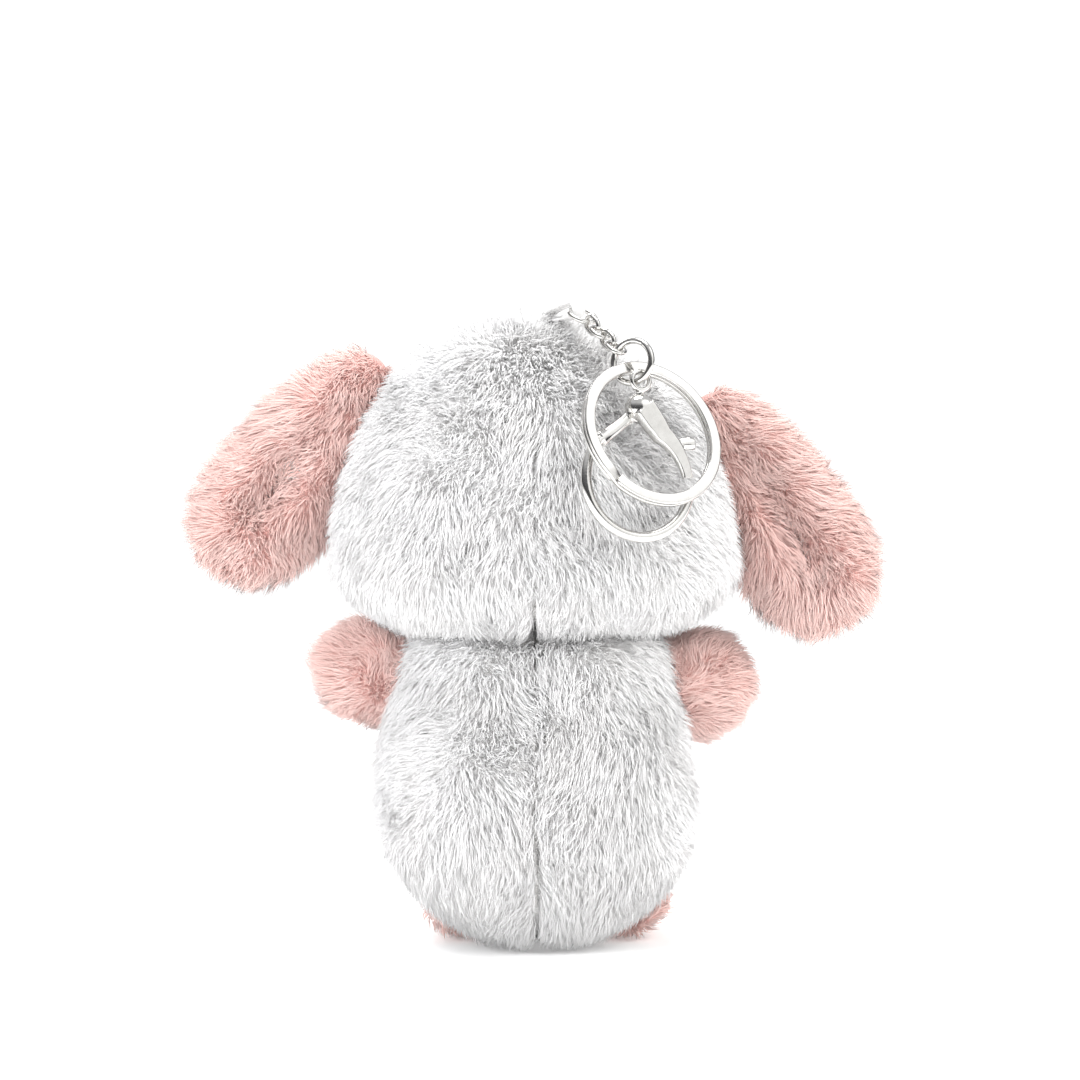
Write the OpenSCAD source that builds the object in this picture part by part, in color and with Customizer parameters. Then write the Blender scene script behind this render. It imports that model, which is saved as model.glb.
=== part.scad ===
// Plush keychain: a small stuffed animal with floppy ears, hung from a short chain that carries
// a linking ring, a flat split ring and a lobster clasp.
// Millimetres. +Z is up and the toy sits on z = 0 with the middle of its seat at the origin.
// It faces -Y, so its own left side is +X and the chain lies on the back of its head, on +Y.

/* [Head] */
// Half of the head's width
head_half_w = 42; // [41:0.5:43]
// Half of the head's depth, front to back
head_half_d = 35; // [34:0.5:35.5]
// Height of the widest level of the head
head_level = 78; // [77.5:0.5:78.5]
// Rise of the crown above that level
head_rise = 51; // [50:0.5:51.5]
// Drop of the chin below that level
head_drop = 21; // [20.5:0.5:21.5]

/* [Body] */
// Half of the body's width
body_half_w = 34; // [33:0.5:35]
// Half of the body's depth
body_half_d = 29; // [28:0.5:30]
// Height of the widest level of the body
body_level = 29.5; // [29:0.25:30]
// Rise of the shoulders above that level, hidden in the neck
body_rise = 47; // [46:0.5:48]
// Drop below that level, cut off flat at the seat
body_drop = 31.5; // [31:0.25:32]
// Height of the seam round the seat panel
seat_seam = 6; // [5:0.5:7]

/* [Plush] */
// Thickness of a plush panel: backing and pile together
panel_t = 3; // [2.5:0.5:3.5]
// Width of the open line that a centre seam makes in the pile
seam_w = 1; // [0.8:0.1:1.4]

/* [Ears] */
// Half of an ear's width at its widest
ear_half_w = 14.3; // [13.5:0.1:14.5]
// Half of an ear's thickness
ear_half_d = 6.5; // [6:0.5:7]
// Length from the widest level up to the root end
ear_rise = 39; // [38:0.5:40]
// Length from the widest level down to the tip
ear_drop = 18; // [17:0.5:19]

/* [Limbs] */
// Reach of an arm's inner end beyond the middle of the shoulder
shoulder_r = 8.5; // [8:0.5:9]
// Radius of a paw
paw_r = 10.8; // [10.5:0.1:11]
// Radius of a leg
leg_r = 9.5; // [9:0.25:9.75]
// Reach of the feet in front of the middle of the seat
foot_reach = 42; // [41:0.5:43]

/* [Hardware] */
// Outside diameter of the flat split ring
split_ring_d = 30; // [29.5:0.1:30.2]
// Width of its flat wire, measured along the radius
split_ring_w = 2.2; // [2:0.1:2.4]
// Thickness of its two turns together
split_ring_t = 2; // [1.9:0.1:2.1]
// Outside diameter of the linking ring
linking_ring_d = 9.6; // [9.5:0.1:9.8]
// Wire of the linking ring
linking_ring_wire = 1.3; // [1.2:0.05:1.35]
// Wire of the chain links
link_wire = 0.9; // [0.8:0.05:0.95]
// Outside length of an oval chain link
link_len = 5; // [4.9:0.1:5.1]
// Outside diameter of the clasp's round hook
hook_d = 24; // [23.5:0.5:24.5]
// Wire of the clasp's hook
hook_wire = 2.2; // [2.1:0.1:2.3]

/* [Hidden] */
$fn = 64;

far = 300;            // reach of the half-spaces that cut the toy
fill_gap = 0.2;       // between stuffing and the panels round it
rest_gap = 0.6;       // between a limb that moves and the body it rests on
socket_gap = 0.5;     // round the root of an ear
neck_line = 0.8;      // height of the neck seam between head and body

// Ears: where each turns, and how far it hangs out from straight down
left_ear_root = [36.8, -3, 112.8];
right_ear_root = [-38.8, -3, 105];
left_ear_tilt = -36;
right_ear_tilt = 33;
ear_root_depth = 9;   // from the root end down to the turning axis
ear_root_r = 9.4;     // the root's reach round that axis
ear_root_half_d = 6;  // half of the root's thickness
ear_panel_t = panel_t - 0.5;

// Arms: shoulder centre, then tilt from straight up and heading from +X
left_shoulder = [24, -3, 51.8];
right_shoulder = [-23, -3, 51];
left_arm_aim = [74, -30];
right_arm_aim = [85, -148];
arm_len = 12.5;       // from shoulder centre to paw centre

// Legs: they point straight forward, their soles cut off as pads
left_leg_x = 14.5;
right_leg_x = -18.5;
sole_t = 4;
leg_inset = 8;        // from the middle of the seat to a leg's inner end

// Face
eye_x = 14;
eye_level = 84;
eye_r = 3.6;
nose_level = 75.5;
nose_r = 2.8;
seat_depth = 1;       // of the seats that the eyes and the nose sit in
stem_r = 0.9;
stem_gap = 0.1;
stem_len = 3.6;       // of a stem, behind the panel
stem_run = panel_t + stem_len + 0.4;  // depth of the hole that a stem goes into
eye_rise = 3.2;       // of a dome above its seat
nose_rise = 3;
eye_washer_r = 4;
nose_washer_r = 3.2;
washer_t = 1;
washer_room = 0.2;    // round a washer, in the stuffing
washer_back = 2.5;    // from the panel's inside to the near face of a washer
mouth_r = 2.5;        // of each curve of the mouth
mouth_x = 2.6;
mouth_drop = 3.6;     // from the nose down to the middle of those curves
thread_r = 0.4;

// Chain frame: x runs down along the chain, z stands off the head, y lies level
chain_start = [-8, 12.4, 127.3];
chain_heading = 125.6;
chain_pitch = 31;
ribbon_lift = 40;     // how much steeper the ribbon rises from the head than the chain lies
ribbon_w = 3.2;
ribbon_t = 0.7;
ribbon_gap = 1.15;    // half of the space between its two sides
ribbon_len = 9;
ribbon_room = 0.2;    // round the ribbon, where it goes into the head
jump_ring_r = 2.7;
link_gap = 0.2;
link_half_w = 1.45;   // from the middle of an oval link to its wire
link_half = (link_len - link_wire) / 2;
link_step = link_wire + link_gap;
link_start = 2 * jump_ring_r - link_step + link_half;
link_pitch = 2 * link_half - link_step;
chain_len = link_start + 3 * link_pitch + link_half - (link_wire + linking_ring_wire) / 2 - link_gap;

// Facings: tilt up, then turn about +Z, of a flat thing that would face +Y
linking_ring_face = [8.6, 0, -30.5];
split_ring_face = [24.4, 0, 31.4];
clasp_face = [11.5, 0, 24.2];
clasp_roll = -4.8;

// Places round the linking ring, as angles in its own plane
chain_angle = 35;
clasp_angle = -120;
clasp_slip = 0.15;    // how far the clasp's eye hangs out from the middle of the wire
split_angle = -54.4;
split_depth = 1.7;    // how far off its centre the split ring's wire passes
split_hang = 82;      // the split ring's own angle at that place
linking_ring_r = (linking_ring_d - linking_ring_wire) / 2;
split_ring_r = (split_ring_d - split_ring_w) / 2;

chain_end = chain_start + chain_len * chain_axis();
linking_ring_pos = chain_end - on_ring(linking_ring_face, linking_ring_r, chain_angle);
clasp_pos = linking_ring_pos + on_ring(linking_ring_face, linking_ring_r + clasp_slip, clasp_angle);
split_ring_pos = linking_ring_pos + on_ring(linking_ring_face, split_depth, split_angle)
  - on_ring(split_ring_face, split_ring_r, split_hang);

// Clasp, in its own plane: the eye is at the origin and the hook hangs down -Z
eye_hole_r = 1.35;
eye_wire = 1;
hub_drop = 5.4;
hub_r = 2.9;
hub_t = 1.4;
hub_back = -1.5;
arm_y = -1.0;         // the neck and the arm lie behind the lever
neck_r = 0.6;
hook_side = 0.8;      // of the hook's middle, from under the eye
hook_drop = 19.8;
hook_r = (hook_d - hook_wire) / 2;
hook_from = 184;      // the hook's tip, under the lever
hook_to = 404;        // where the hook meets its arm
pin_r = 0.7;
pin_clearance = 0.05;
rivet_r = 1.3;
arm_r = 1.2;          // of the arm, where it meets the hook
hub_gap = 0.1;        // between hub and lever
lever_dome = [3.1, 2.6, 2.7];
lever_y = 0.4;
lever_wire = 2.2;
lever_bend = [-3.8, -10.2];   // where the lever's neck runs into its bow
lever_bow = [3, -21];
lever_bow_r = 12.75;
bow_from = 122;       // the bow, as angles round its middle
bow_to = 169;
tab_from = [-5, -12.2];
tab_to = [-11, -11.6];
spring_r = 1.3;
spring_wire = 0.3;
spring_pitch = 0.36;
spring_room = 1.9;    // radius of the pocket in the lever that holds the spring

// ---- directions and placing ----

function chain_axis() = [
  cos(chain_pitch) * cos(chain_heading),
  cos(chain_pitch) * sin(chain_heading),
  -sin(chain_pitch)
];

// A point at radius r and angle a on a ring whose face is turned from +Y
function on_ring(face, r, a) = [
  r * cos(a) * cos(face[2]) + r * sin(a) * sin(face[0]) * sin(face[2]),
  r * cos(a) * sin(face[2]) - r * sin(a) * sin(face[0]) * cos(face[2]),
  r * sin(a) * cos(face[0])
];

module along_chain(x) {
  translate(chain_start) rotate([0, chain_pitch, chain_heading]) translate([x, 0, 0]) children();
}

module facing(pos, face, roll = 0) {
  translate(pos) rotate(face) rotate([0, roll, 0]) children();
}

module aimed(pos, aim) {
  translate(pos) rotate([0, aim[0], aim[1]]) children();
}

// ---- half-spaces ----

module above(z) {
  translate([-far, -far, z]) cube(2 * far);
}

module below(z) {
  translate([-far, -far, z - 2 * far]) cube(2 * far);
}

module behind(y) {
  translate([-far, y, -far]) cube(2 * far);
}

module before(y) {
  translate([-far, y - 2 * far, -far]) cube(2 * far);
}

module left_of(x) {
  translate([x, -far, -far]) cube(2 * far);
}

module right_of(x) {
  translate([x - 2 * far, -far, -far]) cube(2 * far);
}

// ---- round soft forms ----

module ellipsoid(half) {
  scale(half) sphere(1);
}

// Two half-ellipsoids that share one level, at z = 0
module egg(half_w, half_d, rise, drop) {
  union() {
    intersection() {
      ellipsoid([half_w, half_d, rise]);
      above(0);
    }
    intersection() {
      ellipsoid([half_w, half_d, drop]);
      below(0);
    }
  }
}

// A stub with one round end, along +Z from the middle of that end
module stub(r, len) {
  union() {
    sphere(r);
    cylinder(r = r, h = len);
  }
}

// ---- head ----

module head_form(grow = 0) {
  translate([0, 0, head_level])
    egg(head_half_w + grow, head_half_d + grow, head_rise + grow, head_drop + grow);
}

module ear_socket(root, gap) {
  translate(root) rotate([90, 0, 0])
    cylinder(r = ear_root_r + gap, h = 2 * (ear_root_half_d + gap), center = true);
}

module ear_sockets() {
  ear_socket(left_ear_root, socket_gap);
  ear_socket(right_ear_root, socket_gap);
}

module ribbon_slot() {
  along_chain(0) rotate([0, -ribbon_lift, 0])
    translate([-ribbon_len - 1, -ribbon_w / 2 - ribbon_room, -ribbon_gap - ribbon_t - ribbon_room])
      cube([ribbon_len + 2, ribbon_w + 2 * ribbon_room, 2 * (ribbon_gap + ribbon_t + ribbon_room)]);
}

// Distance from the middle plane to the face's surface at a place x, z
function face_y(x, z, grow = 0) =
  let(h = (z > head_level ? head_rise : head_drop) + grow)
  -(head_half_d + grow) * sqrt(1 - pow(x / (head_half_w + grow), 2) - pow((z - head_level) / h, 2));

module face_stem(x, z, r, len) {
  translate([x, face_y(x, z) + len, z]) rotate([90, 0, 0]) cylinder(r = r, h = len + 1);
}

module face_stems(gap) {
  for (x = [-eye_x, eye_x]) face_stem(x, eye_level, stem_r + gap, stem_run);
  face_stem(0, nose_level, stem_r + gap, stem_run);
}

// A round flat-bottomed seat for a hard piece of the face
module face_seat(x, z, r) {
  translate([x, face_y(x, z) + seat_depth, z]) rotate([90, 0, 0]) cylinder(r = r, h = far);
}

module face_seats() {
  for (x = [-eye_x, eye_x]) face_seat(x, eye_level, eye_r + stem_gap);
  face_seat(0, nose_level, nose_r + stem_gap);
}

// A disc behind the panel, where a lock washer sits; room is left all round it
module washer_place(x, z, r, room) {
  translate([x, face_y(x, z, -panel_t) + washer_back + washer_t + room, z]) rotate([90, 0, 0])
    cylinder(r = r + room, h = washer_t + 2 * room);
}

module head_shell() {
  difference() {
    head_form();
    head_form(-panel_t);
    ear_sockets();
    ribbon_slot();
    face_stems(stem_gap);
    face_seats();
  }
}

module face_panel() {
  color("white") intersection() {
    head_shell();
    before(0);
  }
}

module head_back_left_panel() {
  color("white") intersection() {
    head_shell();
    behind(0);
    left_of(seam_w / 2);
  }
}

module head_back_right_panel() {
  color("white") intersection() {
    head_shell();
    behind(0);
    right_of(-seam_w / 2);
  }
}

// The turned-in edges of the two back panels, sewn together below the pile
module head_back_seam() {
  color("gainsboro") intersection() {
    difference() {
      head_form(-1);
      head_form(-panel_t);
    }
    translate([-seam_w / 2 + 0.1, 0.1, 0]) cube([seam_w - 0.2, far, far]);
  }
}

module head_stuffing() {
  color("ivory") difference() {
    head_form(-panel_t - fill_gap);
    ear_sockets();
    ribbon_slot();
    face_stems(stem_gap);
    for (x = [-eye_x, eye_x]) washer_place(x, eye_level, eye_washer_r, washer_room);
    washer_place(0, nose_level, nose_washer_r, washer_room);
  }
}

// ---- face ----

// A dome with a flat back in its seat, and a stem through the panel
module face_button(x, z, r, rise) {
  union() {
    translate([x, face_y(x, z) + seat_depth, z]) intersection() {
      ellipsoid([r, rise, r]);
      before(0);
    }
    translate([x, face_y(x, z) + panel_t + stem_len, z]) rotate([90, 0, 0])
      cylinder(r = stem_r, h = panel_t + stem_len - seat_depth + 0.5);
  }
}

module eye(x) {
  color("black") face_button(x, eye_level, eye_r, eye_rise);
}

module left_eye() {
  eye(eye_x);
}

module right_eye() {
  eye(-eye_x);
}

module lock_washer(x, z, r) {
  color("silver") difference() {
    washer_place(x, z, r, 0);
    face_stem(x, z, stem_r + 0.02, stem_run);
  }
}

module left_eye_washer() {
  lock_washer(eye_x, eye_level, eye_washer_r);
}

module right_eye_washer() {
  lock_washer(-eye_x, eye_level, eye_washer_r);
}

module nose() {
  color("hotpink") face_button(0, nose_level, nose_r, nose_rise);
}

module nose_washer() {
  lock_washer(0, nose_level, nose_washer_r);
}

// Two small curves of thread below the nose
module mouth_stitch() {
  color("dimgray") for (side = [-1, 1])
    translate([side * mouth_x, face_y(mouth_x, nose_level - mouth_drop) - 0.33, nose_level - mouth_drop])
      rotate([90, 0, 0]) rotate([0, 0, 190])
        rotate_extrude(angle = 160) translate([mouth_r, 0]) circle(thread_r);
}

// ---- body ----

module body_form(grow = 0) {
  intersection() {
    translate([0, 0, body_level])
      egg(body_half_w + grow, body_half_d + grow, body_rise + grow, body_drop + grow);
    above(-min(grow, 0));
  }
}

module body_shell() {
  difference() {
    body_form();
    body_form(-panel_t);
    head_form(neck_line);
  }
}

module belly_panel() {
  color("white") intersection() {
    body_shell();
    before(0);
    above(seat_seam);
  }
}

module body_back_left_panel() {
  color("white") intersection() {
    body_shell();
    behind(0);
    left_of(seam_w / 2);
    above(seat_seam);
  }
}

module body_back_right_panel() {
  color("white") intersection() {
    body_shell();
    behind(0);
    right_of(-seam_w / 2);
    above(seat_seam);
  }
}

module body_back_seam() {
  color("gainsboro") intersection() {
    difference() {
      body_form(-1);
      body_form(-panel_t);
      head_form(neck_line);
    }
    translate([-seam_w / 2 + 0.1, 0.1, seat_seam]) cube([seam_w - 0.2, far, far]);
  }
}

module seat_panel() {
  color("white") intersection() {
    difference() {
      body_form();
      body_form(-panel_t);
    }
    below(seat_seam);
  }
}

// The gathered edge where the open top of the body is sewn to the underside of the head
module neck_seam() {
  color("gainsboro") intersection() {
    difference() {
      body_form(-1);
      body_form(-panel_t);
    }
    head_form(neck_line - 0.1);
    difference() {
      above(0);
      head_form(0.1);
    }
  }
}

module body_stuffing() {
  color("ivory") difference() {
    body_form(-panel_t - fill_gap);
    head_form(neck_line);
  }
}

// ---- ears ----

// The ear about its turning axis, with inset taken off all round
module ear_form(inset) {
  translate([0, 0, ear_root_depth - ear_rise])
    egg(ear_half_w - inset, ear_half_d - inset, ear_rise - inset, ear_drop - inset);
}

module ear(root, tilt, inset) {
  difference() {
    translate(root) rotate([0, tilt, 0]) ear_form(inset);
    difference() {
      head_form(rest_gap + inset);
      ear_socket(root, -inset);
    }
  }
}

module ear_shell(root, tilt) {
  difference() {
    ear(root, tilt, 0);
    ear(root, tilt, ear_panel_t);
  }
}

module left_ear_front_panel() {
  color("lightpink") intersection() {
    ear_shell(left_ear_root, left_ear_tilt);
    before(left_ear_root[1]);
  }
}

module left_ear_back_panel() {
  color("lightpink") intersection() {
    ear_shell(left_ear_root, left_ear_tilt);
    behind(left_ear_root[1]);
  }
}

module left_ear_stuffing() {
  color("ivory") ear(left_ear_root, left_ear_tilt, ear_panel_t + fill_gap);
}

module right_ear_front_panel() {
  color("lightpink") intersection() {
    ear_shell(right_ear_root, right_ear_tilt);
    before(right_ear_root[1]);
  }
}

module right_ear_back_panel() {
  color("lightpink") intersection() {
    ear_shell(right_ear_root, right_ear_tilt);
    behind(right_ear_root[1]);
  }
}

module right_ear_stuffing() {
  color("ivory") ear(right_ear_root, right_ear_tilt, ear_panel_t + fill_gap);
}

// ---- arms ----

module arm(shoulder, aim, inset) {
  difference() {
    aimed(shoulder, aim) translate([0, 0, arm_len])
      egg(paw_r - inset, paw_r - inset, paw_r - inset, arm_len + shoulder_r - inset);
    body_form(rest_gap + inset);
    head_form(rest_gap + inset);
  }
}

module arm_shell(shoulder, aim) {
  difference() {
    arm(shoulder, aim, 0);
    arm(shoulder, aim, panel_t);
  }
}

// The half of an arm above the plane along it
module arm_upper_half(shoulder, aim) {
  intersection() {
    arm_shell(shoulder, aim);
    aimed(shoulder, aim) right_of(0);
  }
}

module arm_lower_half(shoulder, aim) {
  intersection() {
    arm_shell(shoulder, aim);
    aimed(shoulder, aim) left_of(0);
  }
}

module left_arm_upper_panel() {
  color("lightpink") arm_upper_half(left_shoulder, left_arm_aim);
}

module left_arm_lower_panel() {
  color("lightpink") arm_lower_half(left_shoulder, left_arm_aim);
}

module left_arm_stuffing() {
  color("ivory") arm(left_shoulder, left_arm_aim, panel_t + fill_gap);
}

module right_arm_upper_panel() {
  color("lightpink") arm_upper_half(right_shoulder, right_arm_aim);
}

module right_arm_lower_panel() {
  color("lightpink") arm_lower_half(right_shoulder, right_arm_aim);
}

module right_arm_stuffing() {
  color("ivory") arm(right_shoulder, right_arm_aim, panel_t + fill_gap);
}

// ---- legs ----

module leg_form(x, inset) {
  translate([x, -foot_reach + leg_r, leg_r]) rotate([-90, 0, 0])
    stub(leg_r - inset, foot_reach - leg_r - leg_inset);
}

module leg_panel(x) {
  color("lightpink") difference() {
    leg_form(x, 0);
    leg_form(x, panel_t);
    body_form(0.1);
    before(-foot_reach + sole_t);
  }
}

module foot_sole(x) {
  color("lightcoral") intersection() {
    difference() {
      leg_form(x, 0);
      leg_form(x, panel_t);
    }
    before(-foot_reach + sole_t);
  }
}

module leg_stuffing(x) {
  color("ivory") difference() {
    leg_form(x, panel_t + fill_gap);
    body_form(0.1);
  }
}

module left_leg_panel() {
  leg_panel(left_leg_x);
}

module right_leg_panel() {
  leg_panel(right_leg_x);
}

module left_foot_sole() {
  foot_sole(left_leg_x);
}

module right_foot_sole() {
  foot_sole(right_leg_x);
}

module left_leg_stuffing() {
  leg_stuffing(left_leg_x);
}

module right_leg_stuffing() {
  leg_stuffing(right_leg_x);
}

// ---- chain ----

// A strip of ribbon folded round the jump ring, its ends sewn into the crown
module ribbon_loop() {
  outer = ribbon_gap + ribbon_t;
  color("white") along_chain(0) rotate([0, -ribbon_lift, 0])
    translate([0, ribbon_w / 2, 0]) rotate([90, 0, 0])
      linear_extrude(ribbon_w) difference() {
        union() {
          circle(outer);
          translate([-ribbon_len, -outer]) square([ribbon_len, 2 * outer]);
        }
        circle(ribbon_gap);
        translate([-ribbon_len + 1, -ribbon_gap]) square([ribbon_len - 1, 2 * ribbon_gap]);
      }
}

// A wire ring in the XY plane
module wire_ring(r, wire) {
  rotate_extrude() translate([r, 0]) circle(wire / 2);
}

module jump_ring() {
  color("silver") along_chain(jump_ring_r) wire_ring(jump_ring_r, link_wire);
}

// An oval link along X, lying in the XY plane
module oval_link() {
  run = link_half - link_half_w;
  for (side = [-1, 1]) {
    translate([side * run, 0, 0]) rotate([0, 0, side * 90 - 180])
      rotate_extrude(angle = 180) translate([link_half_w, 0]) circle(link_wire / 2);
    translate([-run, side * link_half_w, 0]) rotate([0, 90, 0])
      cylinder(r = link_wire / 2, h = 2 * run);
  }
}

// Each link lies a quarter turn from the one before
module chain_link(i) {
  color("silver") along_chain(link_start + (i - 1) * link_pitch) rotate([(i % 2) * 90, 0, 0])
    oval_link();
}

module chain_link_1() {
  chain_link(1);
}

module chain_link_2() {
  chain_link(2);
}

module chain_link_3() {
  chain_link(3);
}

module chain_link_4() {
  chain_link(4);
}

module linking_ring() {
  color("silver") facing(linking_ring_pos, linking_ring_face) rotate([90, 0, 0])
    wire_ring(linking_ring_r, linking_ring_wire);
}

// Two flat turns of wire that lie together, joined where the wire steps across
module split_ring() {
  turn_t = (split_ring_t - 0.1) / 2;
  step_angle = 14;
  slit_angle = 1.5;
  color("silver") facing(split_ring_pos, split_ring_face) rotate([90, 0, 0])
    rotate([0, 0, 230]) difference() {
      union() {
        for (side = [-1, 1]) translate([0, 0, side * (split_ring_t - turn_t) / 2])
          rotate_extrude() translate([split_ring_r, 0])
            square([split_ring_w, turn_t], center = true);
        rotate_extrude(angle = step_angle) translate([split_ring_r, 0])
          square([split_ring_w, turn_t], center = true);
      }
      rotate([0, 0, step_angle]) rotate_extrude(angle = slit_angle)
        translate([split_ring_r - split_ring_w, 0.05]) square([2 * split_ring_w, split_ring_t]);
      rotate([0, 0, -slit_angle]) rotate_extrude(angle = slit_angle)
        translate([split_ring_r - split_ring_w, -split_ring_t - 0.05])
          square([2 * split_ring_w, split_ring_t]);
    }
}

// ---- clasp ----

module clasp_place() {
  facing(clasp_pos, clasp_face, clasp_roll) children();
}

// A round bar between two points of the clasp's plane, given as x, z, at a depth y
module bar(from, to, y, r1, r2) {
  run = to - from;
  translate([from[0], y, from[1]]) rotate([0, 90 - atan2(run[1], run[0]), 0])
    cylinder(r1 = r1, r2 = r2, h = norm(run));
}

// A disc that faces +Y, on the hub's axis
module hub_disc(r, from, to) {
  translate([0, to, -hub_drop]) rotate([90, 0, 0]) cylinder(r = r, h = to - from);
}

// A ball on the hook's wire, at an angle round the hook
module hook_ball(a, r) {
  translate([hook_side + hook_r * cos(a), 0, hook_r * sin(a) - hook_drop]) sphere(r);
}

module clasp_body() {
  arm_end = [hook_side + hook_r * cos(hook_to), hook_r * sin(hook_to) - hook_drop];
  color("silver") clasp_place() difference() {
    union() {
      rotate([90, 0, 0]) wire_ring(eye_hole_r + eye_wire / 2, eye_wire);
      bar([0, -eye_hole_r - eye_wire / 2], [0, -hub_drop], arm_y, neck_r, neck_r);
      hub_disc(hub_r, hub_back, hub_back + hub_t);
      bar([0, -hub_drop], arm_end, arm_y, neck_r, arm_r);
      translate([hook_side, 0, -hook_drop]) rotate([90, 0, 0]) rotate([0, 0, hook_from])
        rotate_extrude(angle = hook_to - hook_from) translate([hook_r, 0]) circle(hook_wire / 2);
      hook_ball(hook_from, hook_wire / 2 - 0.1);
      hook_ball(hook_to, hook_wire / 2 + 0.2);
    }
    hub_disc(pin_r, -far, far);
  }
}

// The comma-shaped lever that closes the hook, with its thumb tab
module clasp_lever() {
  color("silver") clasp_place() difference() {
    union() {
      translate([0, 0, -hub_drop]) ellipsoid(lever_dome);
      bar([0, -hub_drop], lever_bend, lever_y + 0.2, 2.5, 1.6);
      translate([lever_bow[0], lever_y, lever_bow[1]]) rotate([90, 0, 0]) rotate([0, 0, bow_from])
        rotate_extrude(angle = bow_to - bow_from) translate([lever_bow_r, 0]) circle(lever_wire / 2);
      bar(tab_from, tab_to, lever_y, 0.9, 1.3);
    }
    hub_disc(hub_r + 1, -far, hub_back + hub_t + hub_gap);
    hub_disc(pin_r + pin_clearance, -far, 1.2);
    hub_disc(spring_room, -far, 0.7);
  }
}

// A shouldered rivet: its shank is pressed into the hub and runs in the lever
module clasp_pivot() {
  color("gainsboro") clasp_place() union() {
    hub_disc(pin_r, hub_back - 0.2, 1.1);
    hub_disc(rivet_r, hub_back - 0.5, hub_back);
  }
}

module clasp_spring() {
  color("gray") clasp_place() for (turn = [0, 1])
    translate([0, 0.12 + spring_pitch * turn, -hub_drop]) rotate([90, 0, 0])
      wire_ring(spring_r, spring_wire);
}

face_panel();
head_back_left_panel();
head_back_right_panel();
head_back_seam();
head_stuffing();
left_eye();
right_eye();
left_eye_washer();
right_eye_washer();
nose();
nose_washer();
mouth_stitch();
belly_panel();
body_back_left_panel();
body_back_right_panel();
body_back_seam();
seat_panel();
neck_seam();
body_stuffing();
left_ear_front_panel();
left_ear_back_panel();
left_ear_stuffing();
right_ear_front_panel();
right_ear_back_panel();
right_ear_stuffing();
left_arm_upper_panel();
left_arm_lower_panel();
left_arm_stuffing();
right_arm_upper_panel();
right_arm_lower_panel();
right_arm_stuffing();
left_leg_panel();
left_foot_sole();
left_leg_stuffing();
right_leg_panel();
right_foot_sole();
right_leg_stuffing();
ribbon_loop();
jump_ring();
chain_link_1();
chain_link_2();
chain_link_3();
chain_link_4();
linking_ring();
split_ring();
clasp_body();
clasp_lever();
clasp_pivot();
clasp_spring();
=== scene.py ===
"""Plush keychain: fur, sewn panels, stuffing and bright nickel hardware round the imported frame."""
import math

import bmesh
import bpy
import numpy as np
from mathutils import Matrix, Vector, kdtree


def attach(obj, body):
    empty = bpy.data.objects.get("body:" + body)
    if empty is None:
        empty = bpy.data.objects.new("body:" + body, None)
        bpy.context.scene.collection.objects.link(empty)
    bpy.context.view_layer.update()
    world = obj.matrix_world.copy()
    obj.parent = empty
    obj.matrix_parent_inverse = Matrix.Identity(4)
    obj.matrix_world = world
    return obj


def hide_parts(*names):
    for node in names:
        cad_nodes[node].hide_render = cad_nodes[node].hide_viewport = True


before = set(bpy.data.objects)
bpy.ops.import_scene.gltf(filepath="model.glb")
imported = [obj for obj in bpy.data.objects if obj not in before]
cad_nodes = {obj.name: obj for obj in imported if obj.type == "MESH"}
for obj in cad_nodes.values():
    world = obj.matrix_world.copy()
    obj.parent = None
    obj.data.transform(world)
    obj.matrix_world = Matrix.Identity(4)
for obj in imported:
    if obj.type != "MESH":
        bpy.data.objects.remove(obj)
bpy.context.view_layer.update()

MM = 0.001

# ---------------------------------------------------------------- materials


def new_material(name):
    mat = bpy.data.materials.new(name)
    mat.use_nodes = True
    nt = mat.node_tree
    nt.nodes.clear()
    out = nt.nodes.new("ShaderNodeOutputMaterial")
    bsdf = nt.nodes.new("ShaderNodeBsdfPrincipled")
    nt.links.new(bsdf.outputs[0], out.inputs[0])
    return mat, nt, bsdf


def noise_node(nt, scale, detail=3.0, rough=0.55, coords="Object"):
    tc = nt.nodes.new("ShaderNodeTexCoord")
    n = nt.nodes.new("ShaderNodeTexNoise")
    n.inputs["Scale"].default_value = scale
    n.inputs["Detail"].default_value = detail
    n.inputs["Roughness"].default_value = rough
    nt.links.new(tc.outputs[coords], n.inputs["Vector"])
    return n


def ramp(nt, source, stops):
    r = nt.nodes.new("ShaderNodeValToRGB")
    while len(r.color_ramp.elements) < len(stops):
        r.color_ramp.elements.new(0.5)
    for e, (pos, col) in zip(r.color_ramp.elements, stops):
        e.position = pos
        e.color = (*col, 1.0)
    nt.links.new(source, r.inputs[0])
    return r


def mix(nt, fac, a, b, mode="MIX"):
    m = nt.nodes.new("ShaderNodeMix")
    m.data_type = "RGBA"
    m.blend_type = mode
    if isinstance(fac, float):
        m.inputs[0].default_value = fac
    else:
        nt.links.new(fac, m.inputs[0])
    for sock, v in ((m.inputs[6], a), (m.inputs[7], b)):
        if isinstance(v, tuple):
            sock.default_value = (*v, 1.0)
        else:
            nt.links.new(v, sock)
    return m.outputs[2]


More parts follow.
